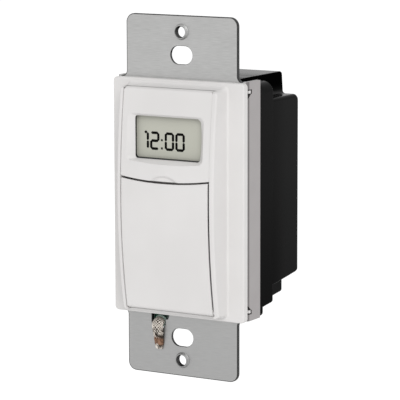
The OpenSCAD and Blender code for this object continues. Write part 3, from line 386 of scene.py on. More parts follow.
outer = [case_row(y, *COLLAR, (0.1, 0.1, 0.5, 0.5)) for y in (0.1, LIP_FRONT)]
outer += [case_row(y, *LIP, (0.05, 0.02, 1.2, 2.2)) for y in (LIP_FRONT, 8.0)]
outer += [shallow(8.05)] + [shallow(LEVEL_BACK - d, i) for i, d in quarter(0.3)]
outer += [deep(y) for y in (LEVEL_BACK, 28.65, 29.1, 29.45)]
outer += [deep(CASE_BACK - d, i) for i, d in quarter(0.35)] + [deep(CASE_BACK, 0.5)]
inner = [deep(WALL_BACK, 0, WALL), deep(12.4, 0, WALL), shallow(12.3, 0, WALL), shallow(LEVEL_FRONT, 0, WALL)]
inner += [case_row(y, *COLLAR, (0.1, 0.1, 0.2, 0.2), WALL) for y in (LEVEL_FRONT, 0.1)] + outer[:1]
WELL = (1.9, WALL_BACK), (1.9, 29.75), (2.0, 29.95), (2.2, CASE_BACK)
wells = [[at(circle(x, 31.45, r, 32)[::-1], y) for r, y in WELL] for x in (-8.96, 0, 8.96)]
case = [skin(outer), skin(inner), *map(skin, wells),
        fill([outer[-1]] + [well[-1] for well in wells], 1), fill([inner[0]] + [well[0] for well in wells], -1)]
piece("case_moulding", case, case_black, "black_plastic", "rear_housing")


# Case screws: four zinc-plated pan heads with a cross recess, driven from behind through the cut corners
# of the case into the strap.
zinc = Finish("zinc_plated_screw", {"Metallic": 1.0})
swirl, patch = zinc.noise((3, 3, 3), 3), zinc.noise((0.7, 0.7, 0.7), 2)
zinc.show("Base Color", zinc.mix(patch, (0.42, 0.42, 0.40, 1), (0.60, 0.60, 0.58, 1)))
zinc.show("Roughness", 0.28 + 0.2 * swirl).relief(swirl, 0.004)
SCREW_PLACES = [(x, z) for x in (-18, 18) for z in (-28.4, 31.45)]


def pan_screw(x, z, seat, r, head, shank, length):
    """Turned profile from the middle of the head out, down its rounded side and along the shank; the head's
    face sinks by a depth inside two crossed bars, with a soft edge and less deep towards their ends."""
    rings = 26
    radius = np.concatenate([np.linspace(0.001, 0.92 * r, rings), r * np.array([0.97, 1, 1]),
                             [shank, shank, 0.6 * shank, 0.001]])
    dome = 1 - 0.25 * np.linspace(0, 0.92, rings) ** 2
    tip = seat - length - 0.5
    y = np.concatenate([seat + head * dome, seat + head * np.array([0.68, 0.55, 0]),
                        [seat, seat - length, tip, tip]])
    a = np.linspace(0, -2 * np.pi, 64, endpoint=False)
    dx, dz = radius[:, None] * np.cos(a), radius[:, None] * np.sin(a)
    bar = np.minimum(np.abs(dx), np.abs(dz)) / (0.16 * r)
    reach = np.hypot(dx, dz) / (0.62 * r)
    sunk = np.clip(1.5 - bar, 0, 1) * np.clip(3 - 3 * reach, 0, 1)
    face = (np.arange(len(radius)) < rings)[:, None]
    return skin(np.stack([x + dx, y[:, None] - 0.55 * head * sunk * face, z + dz], -1))


screws = [pan_screw(x, z, LEVEL_BACK, r=1.9, head=1.5, shank=1.05, length=15.0) for x, z in SCREW_PLACES]
piece("case_screw_set", screws, zinc, "screw_steel", "housing_screws")


# Boards: glass-fibre laminate with green resist over etched copper, and the mains parts soldered on the
# power board inside the case.
def dress(finish, *nodes):
    """Gives these carried-over solids a finish."""
    for node in nodes:
        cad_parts[node].data.materials.clear()
        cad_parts[node].data.materials.append(finish.material)


laminate = Finish("green_laminate", {"Coat Weight": 0.3})
cells = laminate.node("ShaderNodeTexVoronoi", {"distance": "MANHATTAN"},
                      {"Vector": laminate.place(), "Scale": 0.55})
tracks = cells.rise(0.45, 0.5)
laminate.show("Base Color", laminate.mix(tracks, (0.012, 0.085, 0.035, 1), (0.02, 0.14, 0.055, 1)))
laminate.show("Roughness", 0.3 + 0.15 * laminate.noise((2, 2, 2))).relief(tracks, 0.03)
dress(laminate, "control_board", "power_board")


def moulded(name, dark, light, rough, scale=4.0, plain=()):
    """Plastic with a fine grain and a slow change of shade between two colours."""
    made = Finish(name, dict(plain))
    fine, slow = made.noise((scale,) * 3), made.noise((0.15,) * 3)
    made.show("Base Color", made.mix(slow.rise(0.3, 0.7), (*dark, 1), (*light, 1)))
    return made.show("Roughness", rough + 0.12 * (fine - 0.5)).relief(fine, 0.006)


def metal(name, dark, light, rough):
    """Metal with a fine grain and a slow change of shade between two colours."""
    made = Finish(name, {"Metallic": 1.0})
    fine, slow = made.noise((2, 2, 2), 3), made.noise((0.4,) * 3)
    made.show("Base Color", made.mix(slow.rise(0.3, 0.7), (*dark, 1), (*light, 1)))
    return made.show("Roughness", rough + 0.16 * (fine - 0.5)).relief(fine, 0.004)


relay_black = moulded("relay_case", (0.012, 0.012, 0.013), (0.02, 0.02, 0.022), 0.35)
dress(relay_black, "relay", "microcontroller", "tact_switches")
dress(moulded("yellow_film_box", (0.55, 0.36, 0.03), (0.66, 0.45, 0.06), 0.4), "dropper_capacitor")
dress(moulded("capacitor_sleeve", (0.01, 0.015, 0.05), (0.018, 0.025, 0.08), 0.25), "filter_capacitors")
dress(moulded("blue_disc_coat", (0.02, 0.06, 0.30), (0.03, 0.09, 0.40), 0.3), "varistor")
dress(metal("gilt_pin", (0.60, 0.42, 0.14), (0.75, 0.55, 0.22), 0.3), "board_link")
dress(zinc, "board_screws")


# Display: a liquid crystal cell behind the window, pressed on its contact strips by a black holder, with
# a soft black gasket in front. The figures are dark electrodes just under the front glass.
grey_green = Finish("display_cell", {"Specular IOR Level": 0.25})
mottle, haze = grey_green.noise((6, 6, 6), 3), grey_green.noise((0.1, 0.1, 0.1), 1)
cell_tone = grey_green.mix(0.6 * haze + 0.4 * mottle, (0.45, 0.45, 0.39, 1), (0.52, 0.52, 0.455, 1))
grey_green.show("Base Color", cell_tone)
grey_green.show("Roughness", 0.3 + 0.1 * mottle)
dress(grey_green, "lcd_glass")
rubber = moulded("black_gasket", (0.008, 0.008, 0.008), (0.014, 0.014, 0.014), 0.7, 8)
dress(rubber, "zebra_strips")
dress(moulded("holder_moulding", (0.02, 0.02, 0.02), (0.032, 0.032, 0.033), 0.5), "lcd_holder")


def frame_ring(outside, inside, front, back):
    """Square-cut ring between an outer and an inner loop of equal count, from one depth to another."""
    return skin([at(outside, front), at(outside, back), at(inside, back), at(inside, front)], True)


gasket = frame_ring(box(-12.15, 12.15, 10.95, 25.45, 0.3), box(-11.62, 11.3, 12.12, 24.6, 0.9), -8.4, -7.21)
piece("gasket_ring", [gasket], rubber, "black_rubber", "lcd_gasket")

ink = moulded("figure_ink", (0.004, 0.004, 0.004), (0.008, 0.008, 0.007), 0.6,
              plain={"Specular IOR Level": 0.0})
STROKE, FIGURE_LOW, INK_FRONT, INK_BACK = 0.38, 14.8, -7.24, -7.17


def inked(loop):
    """Thin closed slab over a loop, just in front of the cell."""
    rows = [at(loop, INK_FRONT), at(loop, INK_BACK)]
    return [skin(rows), fill(rows[:1], -1), fill(rows[1:], 1)]


def bar(x0, z0, x1, z1):
    """Stroke of a figure: a flat six-sided bar, pointed at both ends, between two joints."""
    along = np.array([x1 - x0, z1 - z0])
    length = np.linalg.norm(along)
    along, across = along / length, np.array([-along[1], along[0]]) / length
    t = np.array([0, 0.3, length - 0.3, length, length - 0.3, 0.3])
    s = STROKE * np.array([0, -1, -1, 0, 1, 1])
    return inked(np.array([x0, z0]) + t[:, None] * along + s[:, None] * across)


def figure(left, strokes):
    """Seven-bar figure: a top, b and c right, d bottom, e and f left, g middle."""
    low, w, h = FIGURE_LOW, 2.42, 4.62
    r, t, m = left + w, low + h, low + h / 2
    ends = {"a": (left, t, r, t), "b": (r, m, r, t), "c": (r, low, r, m), "d": (left, low, r, low),
            "e": (left, low, left, m), "f": (left, m, left, t), "g": (left, m, r, m)}
    return [shell for s in strokes for shell in bar(*ends[s])]


def dot(x, z):
    return inked(box(x - 0.3, x + 0.3, z - 0.3, z + 0.3, 0.08, 3))


figures = (figure(-10.25, "bc") + bar(-9.0, 19.5, -7.95, 19.5) + figure(-6.7, "abged")
           + dot(-3.08, 17.4) + dot(-3.08, 15.0) + figure(-1.75, "abcdef") + figure(1.83, "abcdef"))
piece("display_figures", figures, ink, "black_rubber")


# Display panel: a white moulding that fills the frame. Its bowed face has the bevelled window, the finger
# scoop and an arc along the door; its nose rounds off under the frame's head, and the key deck lies
# behind the door.
white = Finish("white_moulding", {"Specular IOR Level": 0.4})
fine, slow = white.noise((7, 7, 7), 2), white.noise((0.05, 0.05, 0.05), 2)
white.show("Base Color", white.mix(slow.rise(0.3, 0.7), (0.700, 0.686, 0.678, 1), (0.732, 0.718, 0.710, 1)))
white.show("Roughness", 0.40 + 0.12 * fine).relief(fine, 0.003)
ARC_R, ARC_Z, ASIDE, BOW_ABOVE, BOW_BELOW = 90.0, 5.4 + 90.0, 0.35, 230.0, 180.0
FACE_FRONT, FACE_BACK, WINDOW_FRONT, WINDOW_BACK, PANEL_BACK = -10.5, -8.9, -8.52, -8.42, -4.55
PANEL_HALF, HOLLOW_HALF, HOLLOW_LOW, HOLLOW_HIGH = 14.93, 13.65, -31.25, 30.95


def bowed(z, front):
    """Depth of a face that bows forward about an axis along X: its front plus R less the root of R2 less z2,
    with a larger R above the middle than below it."""
    r = np.where(z > 0, BOW_ABOVE, BOW_BELOW)
    return front + r - np.sqrt(r ** 2 - z ** 2)


def arc_edge(x, gap):
    """Height of the edge along the door: the arc's middle less the root of its radius squared less x squared,
    and a little lower towards the left."""
    return ARC_Z - np.sqrt((ARC_R + gap) ** 2 - x ** 2) - 0.012 * np.maximum(-x, 0)


def panel_loop(left, right, low, high, r, sag=None):
    """Four-cornered loop with dense sides; sag gives the lower side's height for each x."""
    rounded, dense = 8, 48
    loop = box(left, right, low, high, r, rounded, dense)
    if sag is not None:
        lower = loop[rounded:rounded + dense]
        lower[:, 1] = sag(lower[:, 0])
    return loop


def scooped(loop):
    """Extra depth of the finger scoop: full inside a circle that the door's edge cuts, with a soft rim."""
    tall, half = 1.8, 4.6
    r = (tall ** 2 + half ** 2) / (2 * tall)
    inside = r - np.hypot(loop[:, 0] + 0.9, loop[:, 1] - (5.65 + tall - r))
    t = np.clip(inside / 0.7, 0, 1)
    return 0.6 * t * (2 - t)


def nose(z):
    """Rounding over the top: 2.6 less 2.6 times the root of 1 less the square of the way up its last
    0.85 mm."""
    return 2.6 * (1 - np.sqrt(1 - np.clip((z - 31.95) / 0.85, 0, 0.999) ** 2))


def panel_edge(inset):
    """Loop round the panel's face, drawn in by inset: its lower side follows the door's arc, and its top
    narrows."""
    half, gap = PANEL_HALF - inset, -0.25 - inset
    corner = float(arc_edge(np.array(half), gap))
    loop = panel_loop(-half, half, corner, 32.7 - inset, [0.12, 0.12, 0.6, 0.6], lambda x: arc_edge(x, gap))
    narrow = 1 - 0.026 * np.clip((loop[:, 1] - 31.6) / 0.7, 0, 1)
    return np.column_stack([loop[:, 0] * narrow - ASIDE, loop[:, 1]])


window = panel_loop(-11.3, 11.0, 11.9, 24.4, [0.8, 0.9, 1.3, 0.8])
window[:, 0] -= np.where(window[:, 0] > 10, 0.4 * ((window[:, 1] - 19.5) / 6) ** 2, 0)
brow = panel_loop(-13.4, 12.2, 11.3, 25.0, [1.6, 1.6, 1.9, 1.9], lambda x: 10.65 + 0.75 * (x / 12) ** 2)
lip = panel_edge(0.9)
face = [at(window, WINDOW_BACK), at(window, WINDOW_FRONT)]
for share in (0.35, 0.7, 0.93):
    loop = window + (brow - window) * share
    face.append(at(loop, WINDOW_FRONT + (bowed(loop[:, 1], FACE_FRONT) - WINDOW_FRONT) * share))
for share in np.concatenate([np.linspace(0, 0.6, 6), np.linspace(0.65, 1, 10)]):
    loop = brow + (lip - brow) * share
    face.append(at(loop, bowed(loop[:, 1], FACE_FRONT) + scooped(loop)))
rounding = [(inset, 0.0) for inset in np.linspace(0.8, 0.2, 5)]
rounding += [(0.2 * (1 - np.sin(a)), 0.2 * (1 - np.cos(a))) for a in np.linspace(0.3, np.pi / 2, 4)]
for inset, step in rounding:
    loop = panel_edge(inset)
    face.append(at(loop, bowed(loop[:, 1], FACE_FRONT) + scooped(loop) + nose(loop[:, 1]) + step))
hollow = panel_loop(-HOLLOW_HALF, HOLLOW_HALF, float(arc_edge(np.array(HOLLOW_HALF), -1.45)), HOLLOW_HIGH, 0.3,
                    lambda x: arc_edge(x, -1.45))
pocket = panel_loop(-12.2, 12.2, 10.9, 25.5, 0.3)
face += [at(panel_edge(0), PANEL_BACK), at(hollow, PANEL_BACK), at(hollow, bowed(hollow[:, 1], FACE_BACK)),
         at(pocket, bowed(pocket[:, 1], FACE_BACK)), at(pocket, WINDOW_BACK)]

# Each key: its middle in X and Z, its width and height, and how far it stands out of the deck.
KEY_PLACES = {
    "on_off": (0, 2.2, 11, 3.2, 1.7), "mode": (-8.8, -2.3, 8.2, 3.2, 1), "enter": (8.8, -2.3, 8.2, 3.2, 1),
    "minus": (-8.8, -6.8, 8.2, 3.2, 1), "plus": (8.8, -6.8, 8.2, 3.2, 1), "reset": (0, -2.3, 2.4, 2.4, 0.5)}
TRAY_Z, TRAY_HALF, DECK_FRONT, DECK_BACK = -19.0, 8.75, -5.2, -4.0


def obround(x, z, w, h, steps=12):
    """Slot-shaped loop: a box whose short sides are half circles."""
    return box(x - w / 2, x + w / 2, z - h / 2, z + h / 2, h / 2 - 0.001, steps)


def key_hole(x, z, w, h):
    """Hole with some room round a key: a slot, or a circle where the key is round."""
    return (obround(x, z, w + 0.4, h + 0.4) if w > h else circle(x, z, w / 2 + 0.2))[::-1]


def tray_loop(half, r, steps=7):
    """Rounded square round the middle of the battery's drawer."""
    return box(-half, half, TRAY_Z - half, TRAY_Z + half, r, steps)


deck_holes = [tray_loop(TRAY_HALF, 0.3, 4)[::-1]] + [key_hole(*place[:4]) for place in KEY_PLACES.values()]
deck = plate([box(-14.85, 14.85, -32.45, 7.2, 0.3), *deck_holes], DECK_FRONT, DECK_BACK, 0.15)
inside = box(-HOLLOW_HALF, HOLLOW_HALF, HOLLOW_LOW, HOLLOW_HIGH, 0.3)
walls = [frame_ring(box(-14.85, 14.85, -32.45, 32.15, 0.3), inside, -4.1, -2.1),
         frame_ring(box(-15.9, 15.9, -33.5, 33.2, 0.3), inside, -2.1, -1.2),
         frame_ring(tray_loop(TRAY_HALF + 1.2, 0.5), tray_loop(TRAY_HALF, 0.3), -4.1, 3.0)]
POSTS = (-11.6, 28.9, -7.5), (11.6, 28.9, -7.5), (0, -6.8, -4.1)
posts = [frame_ring(circle(x, z, 1.5), circle(x, z, 0.8), front, -0.8) for x, z, front in POSTS]
piece("panel_moulding", [skin(face, True), *deck, *walls, *posts], white, "white_plastic", "display_panel")


# Keys: small caps moulded in pale grey plastic, set into the deck from behind. Each has a collar that
# keeps it in and a plunger on its switch.
key_grey = moulded("key_moulding", (0.44, 0.44, 0.43), (0.50, 0.50, 0.49), 0.45)
for name, (x, z, w, h, proud) in KEY_PLACES.items():
    front = DECK_FRONT - proud
    steps = [(0.75, front + 0.1), (0.5, front + 0.03), (0.32, front)]
    steps += [(d, front + i) for i, d in quarter(0.3, 5)]
    steps += [(0, -3.95), (-0.5, -3.95), (-0.5, -3.35), (h / 2 - 0.9, -3.35), (h / 2 - 0.9, -2.0)]
    loops = [at(obround(x, z, max(w - 2 * i, h - 2 * i + 0.004), h - 2 * i), y) for i, y in steps]
    cap = [skin(loops), fill(loops[:1], -1), fill(loops[-1:], 1)]
    piece(name + "_cap", cap, key_grey, "key_plastic", name + "_button", body=name + "_key")


# Battery: a white moulded drawer with a cradle slides in behind the deck. Its steel cell stands between
# two sprung contact leaves.
dress(white, "battery_tray")
dress(metal("cell_can", (0.30, 0.36, 0.42), (0.42, 0.48, 0.54), 0.3), "battery")
dress(metal("contact_leaf", (0.60, 0.55, 0.42), (0.74, 0.68, 0.52), 0.28), "battery_contacts")


# Front housing: the white moulding that the wall plate goes over. A base with a rounded edge carries the
# leaning frame, whose two side rims bow forward; hooks on its back snap into the strap's flanges.
RIM_FRONT, HEAD_FORWARD = -10.8, 3.0
ROUNDED, DENSE = 8, 24
LOWER_SIDE = slice(ROUNDED, ROUNDED + DENSE)
UPPER_SIDE = slice(3 * ROUNDED + 2 * DENSE, 3 * (ROUNDED + DENSE))


def frame_row(w, low, high, r, y):
    """Loop at a half width between two heights; y is a depth, or a function of the loop that gives it. On the
    frame, all but the right rim's outer side is set over to the left, so that rim is the wider one."""
    loop = box(-w, w, low, high, r, ROUNDED, DENSE)
    if w < 16.49:
        loop[:, 0] -= ASIDE * np.clip((15.9 - loop[:, 0]) / 0.85, 0, 1)
    return at(loop, y(loop) if callable(y) else y)


def rim(drop, sill):
    """Bowed rim, set down by drop; under the door it falls to the sill's depth, and over the panel to the
    head's."""
    def depth(loop):
        y = bowed(loop[:, 1], RIM_FRONT) + drop + nose(loop[:, 1])
        y[LOWER_SIDE], y[UPPER_SIDE] = sill, -4.4 + 0.2 * drop
        return y
    return depth


def head(y, forward):
    """Depth y, brought forward over the panel: by all of forward at the top, and by none from 1.2 mm below
    it."""
    return lambda loop: y - forward * np.clip((loop[:, 1] - loop[:, 1].max()) / 1.2 + 1, 0, 1)


turn = np.linspace(0, np.pi / 2, 7)
INNER_EDGE = (0, 0.12), (0.03, 0.04), (0.1, 0)
rows = [frame_row(15 + i, -32.6 - i, 32.2 + i, 0.06, rim(d, -5.2)) for i, d in INNER_EDGE]
rows += [frame_row(16.1 - 0.45 * i, -33.5 + 0.15 * i, 32.65 - 0.2 * i, 1.2, rim(0.45 * d, -5.6 + 0.1 * d))
         for i, d in zip(1 - np.sin(turn), 1 - np.cos(turn))]
rows += [frame_row(16.48, -33.7, 32.74, 1.2, head(-4.15, HEAD_FORWARD))]
rows += [frame_row(16.5 + 0.7 * i, -33.75 - 0.4 * i, 32.77 + 1.2 * i, 1.4,
                   head(-4.1 + 0.7 * d, HEAD_FORWARD * (1 - d)))
         for i, d in zip(1 - np.cos(turn[1:]), np.sin(turn[1:]))]
rows += [frame_row(21.58 + 0.4 * i, -34.55 - 0.4 * i, 34.42 + 0.23 * i, 1.2, -3.4 + 0.4 * d)
         for i, d in zip(np.sin(turn), 1 - np.cos(turn))]
rows += [frame_row(*row) for row in (
    (21.98, -34.95, 34.65, 1.2, -1.3), (21.88, -34.85, 34.55, 1.2, -1.2), (16, -33.6, 33.3, 0.3, -1.2),
    (16, -33.6, 33.3, 0.3, -2.2), (15, -32.6, 32.2, 0.06, -2.2))]
hook = outline(
    [(20.7, -1.4), (21.1, -1.4), (21.1, -0.1), (21.9, 0.1), (21.9, 0.75), (21.5, 1.05), (20.7, 1.05)],
    [0.05, 0.05, 0.05, 0.2, 0.25, 0.12, 0.05], 4)


def upright(loop, high, low):
    """Prism: a loop in X and Y carried down from one height to another, with both ends filled."""
    points, quads = skin([np.column_stack([loop, np.full(len(loop), z)]) for z in (high, low)])
    tri = tiled([loop], -1)
    return [(points, quads), (points, tri), (points, tri[:, ::-1] + len(loop))]


hooks = [shell for z in (-32.0, 32.0) for shell in upright(hook, z + 0.42, z - 0.42)]
front_shells = [skin(rows, True), *hooks, *map(mirrored, hooks)]
piece("front_moulding", front_shells, white, "white_plastic", "front_housing")


# Door: a white bowed leaf that is also the on/off push surface. It turns on two pins at its rolled lower
# edge, and a pad behind it meets the on/off key.
HINGE = np.array([0, -6.6436, -31.85])
DOOR_LEFT, DOOR_RIGHT, DOOR_THICK = -15.25, 13.95, 1.7


def door_leaf(left, right, edge=0.3, columns=61, steps=44):
    """Section in Y and Z carried across X: up the bowed front, over the rounded top that follows the arc,
    and down the back; towards both ends the section draws in by a quarter round. The back is narrower by
    one part in 14.5, and 0.5 mm lower above the middle."""
    low = HINGE[2]
    a = np.linspace(0, np.pi / 2, 5)
    x = np.concatenate([left + edge * (1 - np.cos(a)), np.linspace(left + 0.6, right - 0.6, columns),
                        right - edge * (1 - np.cos(a[::-1]))])
    inset = np.concatenate([edge * (1 - np.sin(a)), np.zeros(columns), edge * (1 - np.sin(a[::-1]))])
    top = arc_edge(x, 0.15) - inset - 0.008 * (14 - x)
    z_front = low + (top - edge - low)[:, None] * np.linspace(0, 1, steps)
    z_round = (top - edge)[:, None] + edge * np.sin(a[1:])
    z_half = np.concatenate([z_front, z_round], 1)
    step = np.concatenate([np.zeros(steps), edge * (1 - np.cos(a[1:]))])
    front = bowed(z_half, FACE_FRONT) + step + inset[:, None]
    back = bowed(z_half, FACE_FRONT) + DOOR_THICK - step - inset[:, None]
    y = np.concatenate([front, back[:, ::-1]], 1)
    z = np.concatenate([z_half, z_half[:, ::-1]], 1)
    behind = np.concatenate([0 * front, np.ones_like(front)], 1)
    return capped(np.stack([x[:, None] * (1 - behind / 14.5), y, z - 0.5 * behind * (z > 0)], -1))


def tube(path, radius, side, count=24):
    """Round tube: at each point of the path a circle across its heading, and a pole that closes each end.
    Side is the direction that the circles start from."""
    path = np.asarray(path, float)
    heading = np.gradient(path, axis=0)
    heading /= np.linalg.norm(heading, axis=1, keepdims=True)
    side = np.broadcast_to(side, path.shape)
    across = side - (side * heading).sum(1, keepdims=True) * heading
    across /= np.linalg.norm(across, axis=1, keepdims=True)
    up = np.cross(heading, across)
    a = np.linspace(0, 2 * np.pi, count, endpoint=False)[None, :, None]
    r = np.broadcast_to(radius, len(path))[:, None, None]
    rows = path[:, None] + r * (np.cos(a) * across[:, None] - np.sin(a) * up[:, None])
    poles = np.broadcast_to(path[[0, -1], None], (2, count, 3))
    return skin(np.concatenate([poles[:1], rows, poles[1:]]))


def pin(x0, x1, r, edge):
    """Round bar along X on the hinge line, with rounded ends."""
    a = np.linspace(0, np.pi / 2, 4)
    x = np.concatenate([x0 + edge * (1 - np.cos(a)), x1 - edge * (1 - np.cos(a[::-1]))])
    radius = np.concatenate([r - edge * (1 - np.sin(a)), r - edge * (1 - np.sin(a[::-1]))])
    return tube(HINGE + x[:, None] * [1, 0, 0], radius, (0, 0, 1), 32)


pad = [at(obround(0, 2.2, 7.8 - 2 * i, 1.6 - 2 * i), y) for i, y in ((0, -9.6), (0, -7.4), (0.1, -7.3))]
leaf = [door_leaf(DOOR_LEFT, DOOR_RIGHT), pin(DOOR_LEFT, DOOR_RIGHT, 1.0, 0.25), pin(-15.9, -14.5, 0.6, 0.12),
        pin(13.6, 15.9, 0.6, 0.12), skin(pad), fill(pad[-1:], 1), fill(pad[:1], -1)]
piece("door_leaf", leaf, white, "white_plastic", "door", body="door")


# Ground lead: stranded copper in green insulation. It comes out under the front housing, where its bared
# strands are welded to the strap, and its spare length is folded behind the case in one tied loop.
LEAD_ROUTE = np.array([
    (-8.1, -0.2, -37.8), (-8.6, 2.2, -37.5), (-9.9, 6.4, -37.6), (-11.6, 10.8, -38.4), (-12.9, 15.6, -39.5),
    (-13.5, 20.6, -39.4), (-13.8, 25.4, -37.9), (-13.8, 29.8, -35), (-13.6, 32.8, -30.8),
    (-13.3, 34.2, -25.4), (-13.1, 34.5, -19.7), (-12.9, 34.4, -14), (-12.7, 34.1, -8), (-12.6, 34, -2),
    (-12.5, 34, 4), (-12.4, 34, 9), (-11.2, 34, 14.6), (-7.8, 34, 19), (-2.7, 34, 21.5),
    (3, 34, 21.2), (7.9, 34, 18.4), (11.2, 34, 13.8), (12, 34, 8.4), (10.6, 34, 3),
    (7.2, 34, -1.6), (2.8, 34, -5.4), (-1.6, 34, -8.9), (-5.3, 34.1, -12.8), (-7.6, 34.3, -17.4),
    (-8.3, 34.4, -22.4)])


def smooth(route, steps):
    """Catmull-Rom curve: on each span a cubic through its two points, heading along its neighbours' line."""
    p = np.concatenate([route[:1], route, route[-1:]])
    a, b, c, d = p[:-3, None], p[1:-2, None], p[2:-1, None], p[3:, None]
    t = np.linspace(0, 1, steps, endpoint=False)[None, :, None]
    curve = 0.5 * (2 * b + (c - a) * t + (2 * a - 5 * b + 4 * c - d) * t ** 2
                   + (3 * b - a - 3 * c + d) * t ** 3)
    return np.concatenate([curve.reshape(-1, 3), route[-1:]])


def tube_rows(count):
    """For each row of a tube, the point of its path; both poles belong to the end points."""
    return np.concatenate([[0], np.arange(count), [count - 1]])


insulation = Finish("green_insulation", {"Coat Weight": 0.15})
wax, tone = insulation.noise((3, 3, 3)), insulation.noise((0.2, 0.2, 0.2))
start = LEAD_ROUTE[1] - LEAD_ROUTE[0]
start = start / np.linalg.norm(start)
begin = float(start @ LEAD_ROUTE[0])
past = insulation.node("ShaderNodeVectorMath", {"operation": "DOT_PRODUCT"},
                       {0: insulation.place(), 1: tuple(start)}, 1)
green = insulation.mix(tone, (0.006, 0.050, 0.030, 1), (0.010, 0.078, 0.045, 1))
# Painted reflection: the sleeve is coloured pale green at its cut end, fading out over 0.4 mm.
cut_end_highlight = past.rise(begin + 0.4, begin + 0.2)
insulation.show("Base Color", insulation.mix(cut_end_highlight, green, (0.46, 0.60, 0.53, 1)))
insulation.show("Roughness", 0.3 + 0.2 * wax).relief(wax, 0.008)

copper = Finish("copper_strand", {"Metallic": 1.0})
low = copper.along(2)
draw, stain = copper.noise((3, 3, 0.8), 3), copper.noise((0.9, 0.9, 0.7), 2)
bright = copper.mix(draw, (0.52, 0.47, 0.42, 1), (0.86, 0.81, 0.74, 1))
tarnish_and_core_shade = copper.mix(stain.rise(0.38, 0.62) * low.rise(-38.6, -40.6), bright, (0.07, 0.055, 0.045, 1))
# Painted shade: the strands' core is marked and coloured near black, so the gaps between strands look shaded.
tarnish_and_core_shade = copper.mix(copper.cut_and_shade_faces(), tarnish_and_core_shade, (0.035, 0.028, 0.022, 1))
patchy = (0.5 * stain + 0.5 * draw).rise(0.35, 0.65)
scorched = copper.mix(patchy, (0.10, 0.05, 0.032, 1), (0.30, 0.18, 0.12, 1))
welded = (low + 2.0 * stain).rise(-40.7, -41.9) - (low + stain).rise(-43.5, -44.3)
copper.show("Base Color", copper.mix(welded, tarnish_and_core_shade, scorched))
copper.show("Roughness", 0.3 + 0.3 * stain).relief(draw, 0.01)

# The sleeve is pressed in at its cut end, and just behind it bulges to the upper left, into the notch.
LEAD_SIDES = 28
lead_path = smooth(LEAD_ROUTE, 10)
run = np.concatenate([[0], np.linalg.norm(np.diff(lead_path, axis=0), axis=1).cumsum()])
pressed = np.interp(run, [0, 0.25, 0.7], [1.72, 1.9, 2.0])
turning = np.clip((np.arange(len(lead_path)) - 80) / 40, 0, 1)[:, None]
sleeve, quads = tube(lead_path, pressed, (1 - turning) * (1, 0, 0) + turning * (0, 1, 0), LEAD_SIDES)
ring = tube_rows(len(lead_path)).repeat(LEAD_SIDES)
corner = np.array((-0.72, 0, 0.69))
facing = np.clip(((sleeve - lead_path[ring]) @ corner) / 2, 0, 1)
bulge = 1.25 * facing * np.interp(run[ring], [0.3, 1.0, 2.2, 5.0], [0, 1, 1, 0])
sleeve = sleeve + bulge[:, None] * corner
lead = piece("lead_insulation", [(sleeve, quads)], insulation, "green_insulation", "ground_lead")

tie_low, tie_high = (1000 * np.array(p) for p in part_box("lead_tie"))
nylon = moulded("tie_nylon", (0.62, 0.61, 0.58), (0.70, 0.69, 0.66), 0.4)


def tie_row(inset, z):
    """Loop in X and Y round the folded lead at a height z, drawn in by inset, with half circles for ends."""
    r = (tie_high[1] - tie_low[1]) / 2 - inset - 0.01
    loop = box(tie_low[0] + inset, tie_high[0] - inset, tie_low[1] + inset, tie_high[1] - inset, r, 14)
    return np.column_stack([loop, np.full(len(loop), z)])


top, foot = tie_high[2], tie_low[2]
BAND = ((0.2, top), (0, top - 0.2), (0, foot + 0.2), (0.2, foot),
        (0.6, foot), (0.8, foot + 0.2), (0.8, top - 0.2), (0.6, top))
band_rows = [tie_row(inset, z) for inset, z in BAND]
tie = piece("lead_tie_band", [skin(band_rows, True)], nylon, "white_plastic", "lead_tie")


def strands(path, wide, high, across, up, turns, count, r, phase=0.0):
    """Twisted strands: round an oval section that moves along the path, each strand turns by the same angle."""
    t = np.linspace(0, 1, len(path))
    strand = np.arange(count)[:, None]
    angle = 2 * np.pi * (strand / count + turns * t) + phase + 0.1 * np.sin(5 * strand + 9 * t)
    lines = path + (wide * np.cos(angle))[..., None] * across + (high * np.sin(angle))[..., None] * up
    return [tube(line, r, (1, 0.05, 0.02), 8) for line in lines]


heading = lead_path[-1] - lead_path[-3]
heading /= np.linalg.norm(heading)
bare = lead_path[-1] + heading * np.linspace(-1.0, 9.0, 40)[:, None]
bare_side = np.cross(heading, (0, 1, 0))
bare_side /= np.linalg.norm(bare_side)
twist = strands(bare, 0.74, 0.74, bare_side, np.array((0, 1.0, 0)), 0.9, 6, 0.36)
twist += [tube(bare, 0.38, (1, 0, 0.02), 8)]
bare_end = piece("lead_bare_strands", twist, copper, "copper", "lead_bare_end")

weld_path = smooth(np.array([
    (-8.4, 0.4, -37.6), (-8.2, -0.8, -37.55), (-8.15, -1.65, -37.9), (-8.08, -1.95, -39.0),
    (-7.97, -1.85, -40.8), (-7.87, -1.65, -43), (-7.82, -1.45, -45.75)]), 12)
t, stations = np.linspace(0, 1, len(weld_path)), [0, 0.18, 0.35, 0.6, 0.85, 0.95, 1]
wide = np.interp(t, stations, [1.4, 1.5, 1.78, 1.7, 1.4, 1.2, 0.8])
high = np.interp(t, stations, [1.4, 1.2, 0.7, 0.6, 0.4, 0.25, 0.1])
lift = np.gradient(weld_path, axis=0)[:, [0, 2, 1]] * [0, -1, 1]
lift /= np.linalg.norm(lift, axis=1, keepdims=True)
side = np.array((1.0, 0, 0))
bundle = (strands(weld_path, wide, high, side, lift, 1.1, 11, 0.15)
          + strands(weld_path, 0.95 * wide, 0.92 * high, side, lift, -0.9, 11, 0.15, 0.2))
